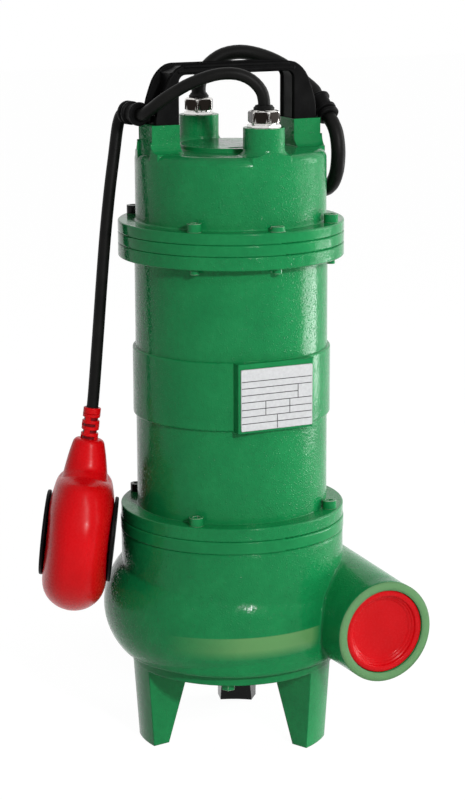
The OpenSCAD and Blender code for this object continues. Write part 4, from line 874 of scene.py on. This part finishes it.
def clip_piece(name, start, turn, dip, bore, foot_box, node_name):
    """Grommet: smooth mouth with a lip, then two rings; its foot reaches the handle's leg."""
    r = 8.2
    at = (Matrix.Translation(start * MM) @ Matrix.Rotation(turn, 4, "Z") @ Matrix.Rotation(dip, 4, "X"))
    profile = [(bore, 0.2), (bore + 0.5, 0), (r - 0.7, 0), (r, 0.8), (r, 2.2), (r - 0.6, 3.0),
               (r - 1.3, 3.4), (r - 1.5, 6), (r - 1.6, 10.2), (r - 0.7, 10.5), (r, 11.0), (r, 12.6),
               (r - 0.6, 13.1), (r - 2.4, 13.3), (r - 2.4, 14.8), (r - 0.6, 15.0), (r, 15.5), (r, 17.2),
               (r - 0.7, CLIP_L), (bore, CLIP_L)]
    bm = bmesh.new()
    lathe(bm, profile, at, 64, closed=True)
    lo, hi = foot_box
    outline = [(lo[0], lo[2]), (hi[0], lo[2]), (hi[0], hi[2]), (lo[0], hi[2])]
    extrude_outline(bm, list(reversed(outline)), lo[1], hi[1], 0.6)
    finish_mesh(name, bm, BLACK, "pump", "plastic_black", 32, [node_name])


handle_piece()
clip_piece("float_lead_clip", FLOAT_CLIP, FLOAT_TURN, -math.pi / 2, FLOAT_D / 2 + 0.35,
           ((-64.0, -1, CLIP_Z - 4), (-61.05, 5, CLIP_Z + 4.5)), "float_cable_clip")
clip_piece("mains_clip", POWER_CLIP, POWER_TURN, math.pi / 2 + POWER_DIP, POWER_D / 2 + 0.35,
           ((61.05, 0.2, CLIP_Z), (66.3, 5.8, CLIP_Z + 8.5)), "power_cable_clip")


# --- cable glands ---------------------------------------------------------------------------------

BASE_AF, BASE_BORE, NUT_AF, NUT_BORE = 20.4, 3.5, 19.4, 7.25


def hex_ring(bm, af, r_in, z0, z1, chamfer, at):
    """Hexagonal ring, af across its flats, with its corners turned off at both ends."""
    steps, rows = 96, []
    corner = af / 2 / math.cos(math.pi / 6)
    for z, lim in ((z0, corner - chamfer), (z0 + chamfer * 0.6, corner), (z1 - chamfer * 1.5, corner),
                   (z1 - chamfer * 0.55, corner - chamfer * 0.75), (z1, corner - chamfer * 1.9)):
        row = []
        for k in range(steps):
            a = 2 * math.pi * k / steps
            near = (a + math.pi / 6) % (math.pi / 3) - math.pi / 6
            row.append((min(af / 2 / math.cos(near), lim), a, z))
        rows.append(row)
    rings = [[bm.verts.new(at @ Vector((r * MM * math.cos(a), r * MM * math.sin(a), z * MM)))
              for r, a, z in row] for row in rows]
    inner = [[bm.verts.new(at @ Vector((r_in * MM * math.cos(2 * math.pi * k / steps),
                                        r_in * MM * math.sin(2 * math.pi * k / steps), z * MM)))
              for k in range(steps)] for z in (z1, z0)]
    loop = rings + inner
    for a, b in zip(loop, loop[1:] + loop[:1]):
        for k in range(steps):
            j = (k + 1) % steps
            bm.faces.new((a[k], a[j], b[j], b[k]))


def glands():
    """Base ring, hexagonal nut and rubber collar of both glands."""
    bodies, nuts, seals = bmesh.new(), bmesh.new(), []
    z = BLOCK_TOP
    nut0, nut1 = z + 3.2, z + 11.7
    for side, cable, turn, name, cad in ((-1, FLOAT_D, -8, "float_gland_collar", "float_gland_seal"),
                                         (1, POWER_D, 30, "mains_gland_collar", "power_gland_seal")):
        at = Matrix.Translation((0, side * GLAND_Y * MM, 0)) @ Matrix.Rotation(math.radians(turn), 4, "Z")
        hex_ring(bodies, BASE_AF, BASE_BORE, z, z + 2.1, 0.5, at)
        lathe(bodies, [(BASE_BORE, z + 1.6), (8.6, z + 1.6), (8.9, z + 2.1), (8.9, z + 2.9), (8.3, z + 3.2),
                       (7.5, z + 3.2), (7.5, z + 7), (BASE_BORE, z + 7)], at, 64, closed=True)
        hex_ring(nuts, NUT_AF, NUT_BORE, nut0, nut1, 1.15, at)
        lathe(nuts, [(NUT_BORE, nut1 - 1), (8.5, nut1 - 0.7), (8.6, nut1 - 0.2), (8.2, nut1 + 0.25),
                     (7.4, nut1 + 0.3), (NUT_BORE, nut1 - 0.2)], at, 64, closed=True)
        bm, r = bmesh.new(), cable / 2 + 0.33
        top = nut1 + 3.5
        lathe(bm, [(r, nut1 - 5), (6.6, nut1 - 5), (6.9, nut1 + 0.1), (7.15, nut1 + 0.9), (7.15, nut1 + 1.7),
                   (6.7, nut1 + 2.1), (6.25, nut1 + 2.5), (5.9, top - 0.2), (r + 0.3, top), (r, top - 0.2)],
              at, 64, closed=True)
        seals.append((name, bm, cad))
    finish_mesh("gland_base_rings", bodies, CHROME, "pump", "chrome", 28, ["gland_bodies"])
    # the nuts take nickel with painted reflection and painted highlights
    finish_mesh("gland_hex_nuts", nuts, NUT_PAINTED_REFLECTION, "pump", "chrome", 28, ["gland_nuts"])
    for name, bm, cad in seals:
        finish_mesh(name, bm, RUBBER, "pump", "rubber_black", 35, [cad])


glands()


# --- plug, plate lines, cable end -----------------------------------------------------------------

PLUG_AT, PLUG_R = (71.1, -94.8, 93.5), 30.0
PLATE_W, PLATE_H, PLATE_CORNER, PLATE_FACE, LINE_HALF = 54.5, 43.0, 0.7, 73.3, 0.26
HOUSING_FOOT, PAD_LIFT, PAD_H = 165, 76.5, 48.5


def plug_piece():
    """Transit plug, whose rim steps down to a sunk face."""
    at = Matrix.Translation([c * MM for c in PLUG_AT]) @ Matrix.Rotation(math.pi / 2, 4, "X")
    r = PLUG_R
    profile = [(0, 0), (r - 0.5, 0), (r, 0.5), (r, 5.7), (r - 0.5, 6.2), (26.4, 6.2), (25.9, 5.9),
               (25.6, 5.0), (25.4, 4.2), (25.1, 3.9), (24.5, 3.8), (24.2, 3.5), (23.9, 2.6), (23.6, 2.4),
               (23.0, 2.3), (22.6, 2.0), (22.2, 1.1), (21.4, 0.8), (12, 0.75), (0, 0.75)]
    bm = bmesh.new()
    lathe(bm, profile, at, 128)
    finish_mesh("transit_plug", bm, RED_PLUG, "plug", "plastic_red", 50, ["port_plug"])


def plate():
    """Bare plate with a generic grid of thin lines and no lettering."""
    w, h, r, face = PLATE_W, PLATE_H, PLATE_CORNER, PLATE_FACE
    left, bottom = -w / 2, HOUSING_FOOT + PAD_LIFT + PAD_H / 2 - 1 - h / 2
    outline = (arc(w / 2 - r, bottom + r, r, -90, 0, 3) + arc(w / 2 - r, bottom + h - r, r, 0, 90, 3)
               + arc(-w / 2 + r, bottom + h - r, r, 90, 180, 3) + arc(-w / 2 + r, bottom + r, r, 180, 270, 3))
    bm = bmesh.new()
    extrude_outline(bm, list(reversed(outline)), -face, -face + 0.8, 0.15)
    finish_mesh("bare_plate", bm, PLATE, "pump", "plate_aluminium", 40, ["nameplate"])
    bm = bmesh.new()

    def bar(x0, z0, x1, z1):
        box = [(x0, z0), (x1, z0), (x1, z1), (x0, z1)]
        extrude_outline(bm, list(reversed(box)), -face - 0.05, -face + 0.1)

    t = LINE_HALF
    rows = [bottom + h - d for d in (8.4, 13.1, 18.0, 22.9, 28.1, 33.0, 37.9, PLATE_H - 0.3)]
    edge = left + 0.3
    for k, z in enumerate(rows[:7]):
        bar(edge, z - t, left + (43.5 if k == 2 else w - 0.3), z + t)
    for x, top, end in ((43.5, 1, 3), (37.1, 3, 5), (18.6, 3, 5), (27.5, 5, 7)):
        bar(left + x - t, rows[end], left + x + t, rows[top])
    finish_mesh("plate_grid", bm, INK, "pump", None, 30)


def cable_end():
    """End of the mains sheath, and its four cores with their bare strands."""
    last, before = power_path[-1], power_path[-2]
    d = (last - before)
    d.z = 0
    d.normalize()
    side = Vector((-d.y, d.x, 0))
    up = Vector((0, 0, 1))
    sheath = bmesh.new()
    tube_mesh(sheath, [last - d * 0.001, last + d * 0.0072, last + d * 0.008], [0.0052, 0.0052, 0.0047], 28)
    end = finish_mesh("mains_end_sheath", sheath, RUBBER, "pump", "cable_rubber", 40, ["power_cable_end"])
    cores = []
    looks = [plain("core_brown", (0.10, 0.035, 0.015), 0.4), plain("core_black", (0.012, 0.012, 0.012), 0.4),
             plain("core_grey", (0.22, 0.22, 0.22), 0.4), plain("core_green", (0.10, 0.30, 0.05), 0.4)]
    for i, look in enumerate(looks):
        a = math.radians(45 + 90 * i)
        off = side * math.cos(a) + up * math.sin(a)
        pts = [last + d * (0.0065 + 0.0235 * k / 8) + off * (0.0021 + 0.0004 * math.sin(k / 8 * math.pi))
               for k in range(9)]
        bm = bmesh.new()
        tube_mesh(bm, pts, 0.0014, 16)
        cores.append(finish_mesh(f"mains_core_{i + 1}", bm, look, "pump", None, 50))
        tip = bmesh.new()
        tube_mesh(tip, [pts[-1] - d * 0.001, pts[-1] + d * 0.0045, pts[-1] + d * 0.005],
                  [0.0009, 0.0009, 0.0006], 14)
        cores.append(finish_mesh(f"mains_strand_{i + 1}", tip, COPPER, "pump", "copper_wire", 50))
    return [end, *cores]


plug_piece()
plate()
END_PIECES = cable_end()


def coil_tie(name, angle):
    """Strap round the whole bundle of the coil, with its buckle on the outside."""
    lo, hi = COIL_IN - POWER_D / 2 - 0.5, COIL_OUT + POWER_D / 2 + 0.5
    low, high, half, thick = 0.65, COIL_LIFT * (COIL_LAYERS - 1) + POWER_D + 0.3, 4.5, 0.9
    loop = ([(hi, high - 3), (hi - 3, high)] + [(lo + 3, high), (lo, high - 3), (lo, low + 3), (lo + 2, low)]
            + [(hi - 2, low), (hi, low + 3)])
    at = (Matrix.Translation((COIL_CENTRE[0] * MM, COIL_CENTRE[1] * MM, 0))
          @ Matrix.Rotation(math.radians(angle), 4, "Z"))
    bm = bmesh.new()
    mid = Vector(((lo + hi) / 2, (low + high) / 2))
    rings = []
    for x, z in loop:
        out = (Vector((x, z)) - mid).normalized() * thick
        rings.append([bm.verts.new(at @ Vector((px * MM, y * MM, pz * MM)))
                      for px, pz, y in ((x, z, -half), (x, z, half), (x + out.x, max(z + out.y, 0.05), half),
                                        (x + out.x, max(z + out.y, 0.05), -half))])
    for a, b in zip(rings, rings[1:] + rings[:1]):
        for k in range(4):
            bm.faces.new((a[k], a[(k + 1) % 4], b[(k + 1) % 4], b[k]))
    buckle = [(hi - 1, 18), (hi + 2.6, 18), (hi + 2.6, 27), (hi - 1, 27)]
    extrude_outline(bm, buckle, -half - 1.5, half + 1.5, 0.8, at)
    return finish_mesh(name, bm, BLACK, "pump", None, 30)


TIES = [coil_tie("coil_tie_1", 45), coil_tie("coil_tie_2", 220)]

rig.cord(mains, exit=power_path[0], length=4.70, diameter=POWER_D * MM, far_end="bare", stiffness="medium",
        lay="coiled", with_pieces=END_PIECES + TIES)
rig.cord(lead_piece, exit=float_path[0], length=0.136, diameter=FLOAT_D * MM, far_end="object",
        stiffness="medium", lay="loose")
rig.cord(drop_piece, exit=drop_path[0], length=0.230, diameter=FLOAT_D * MM, far_end="object",
        stiffness="medium", lay="hanging", path=drop_path)


# --- floor, backdrop and lights -----------------------------------------------------------------------

FLOOR_HALF, FLOOR_Z, FLOOR_GREY = 6, -0.0003, 0.80
# strength of the white that the backdrop's rays see in the floor, and the share of it they see
FLOOR_WHITE, FLOOR_SHARE = 1.08, 0.90
# strength of the world for the backdrop's rays, and for the light that falls on the pump
WORLD_WHITE, WORLD_SOFT = 1.0, 0.16


def backdrop_rays(nt):
    """1 for the rays that see the backdrop: the camera's, and those that metal or glass reflects."""
    rays = nt.nodes.new("ShaderNodeLightPath")
    seen = math_node(nt, "ADD", rays.outputs["Is Camera Ray"], rays.outputs["Is Glossy Ray"])
    return math_node(nt, "ADD", seen, rays.outputs["Is Transmission Ray"], True)


def floor():
    bm = bmesh.new()
    f = FLOOR_HALF
    bm.faces.new([bm.verts.new(p) for p in ((-f, -f, 0), (f, -f, 0), (f, f, 0), (-f, f, 0))])
    me = bpy.data.meshes.new("floor")
    bm.to_mesh(me)
    bm.free()
    m, nt, b = material("floor_white")
    b.inputs["Base Color"].default_value = (FLOOR_GREY, FLOOR_GREY, FLOOR_GREY, 1)
    b.inputs["Roughness"].default_value = 0.8
    white = node(nt, "ShaderNodeEmission", Strength=FLOOR_WHITE)
    seen = math_node(nt, "MULTIPLY", backdrop_rays(nt), FLOOR_SHARE)
    mix = node(nt, "ShaderNodeMixShader", [(0, seen), (1, b.outputs[0]), (2, white.outputs[0])])
    out = [n for n in nt.nodes if n.type == "OUTPUT_MATERIAL"][0]
    nt.links.new(mix.outputs[0], out.inputs[0])
    me.materials.append(m)
    ob = bpy.data.objects.new("floor", me)
    bpy.context.scene.collection.objects.link(ob)
    ob.location.z = FLOOR_Z
    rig.stage(ob)


def world():
    w = bpy.data.worlds.new("studio")
    bpy.context.scene.world = w
    w.use_nodes = True
    nt = w.node_tree
    for n in list(nt.nodes):
        nt.nodes.remove(n)
    out = nt.nodes.new("ShaderNodeOutputWorld")
    white = node(nt, "ShaderNodeBackground", Strength=WORLD_WHITE)
    white.inputs["Color"].default_value = (1, 1, 1, 1)
    soft = node(nt, "ShaderNodeBackground", Strength=WORLD_SOFT)
    soft.inputs["Color"].default_value = (1, 1, 1, 1)
    mix = node(nt, "ShaderNodeMixShader",
               [(0, backdrop_rays(nt)), (1, soft.outputs[0]), (2, white.outputs[0])])
    nt.links.new(mix.outputs[0], out.inputs[0])


AIM_PUMP, AIM_FEET = (0, 0, 0.26), (0, 0, 0.02)


def softbox(name, side, height, distance, size, power, aim):
    """A softbox. side is its angle in degrees round the pump from the camera, towards the right of the
    picture. height, distance, size and aim are in metres, height over the aim, and power is in watts."""
    light = bpy.data.lights.new(name, "AREA")
    light.shape = "RECTANGLE"
    light.size, light.size_y = size
    light.energy = power
    ob = bpy.data.objects.new(name, light)
    bpy.context.scene.collection.objects.link(ob)
    flat = Vector((AHEAD.x, AHEAD.y, 0)).normalized()
    a = math.radians(side)
    way = -flat * math.cos(a) + RIGHT * math.sin(a)
    ob.location = Vector(aim) + way * distance + Vector((0, 0, height))
    ob.rotation_mode = "QUATERNION"
    ob.rotation_quaternion = (Vector(aim) - ob.location).to_track_quat("-Z", "Y")


floor()
world()
softbox("key_right", 92, 0.50, 1.75, (0.7, 1.3), 5.5, AIM_PUMP)
softbox("front_lamp", 24, 0.78, 1.70, (0.16, 0.16), 16.5, AIM_PUMP)
softbox("high_lamp", 20, 1.50, 1.70, (0.14, 0.14), 4, AIM_PUMP)
softbox("right_rim", 112, 0.50, 1.6, (0.5, 1.1), 10, AIM_PUMP)
softbox("low_right", 106, 0.08, 1.1, (0.5, 0.2), 4.2, AIM_FEET)
bpy.context.scene.view_settings.view_transform = "Standard"

MADE_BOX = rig.bounds()
with open("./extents.json", "w") as f:
    json.dump({"cad": [list(c) for c in CAD_BOX], "made": [list(c) for c in MADE_BOX]}, f)
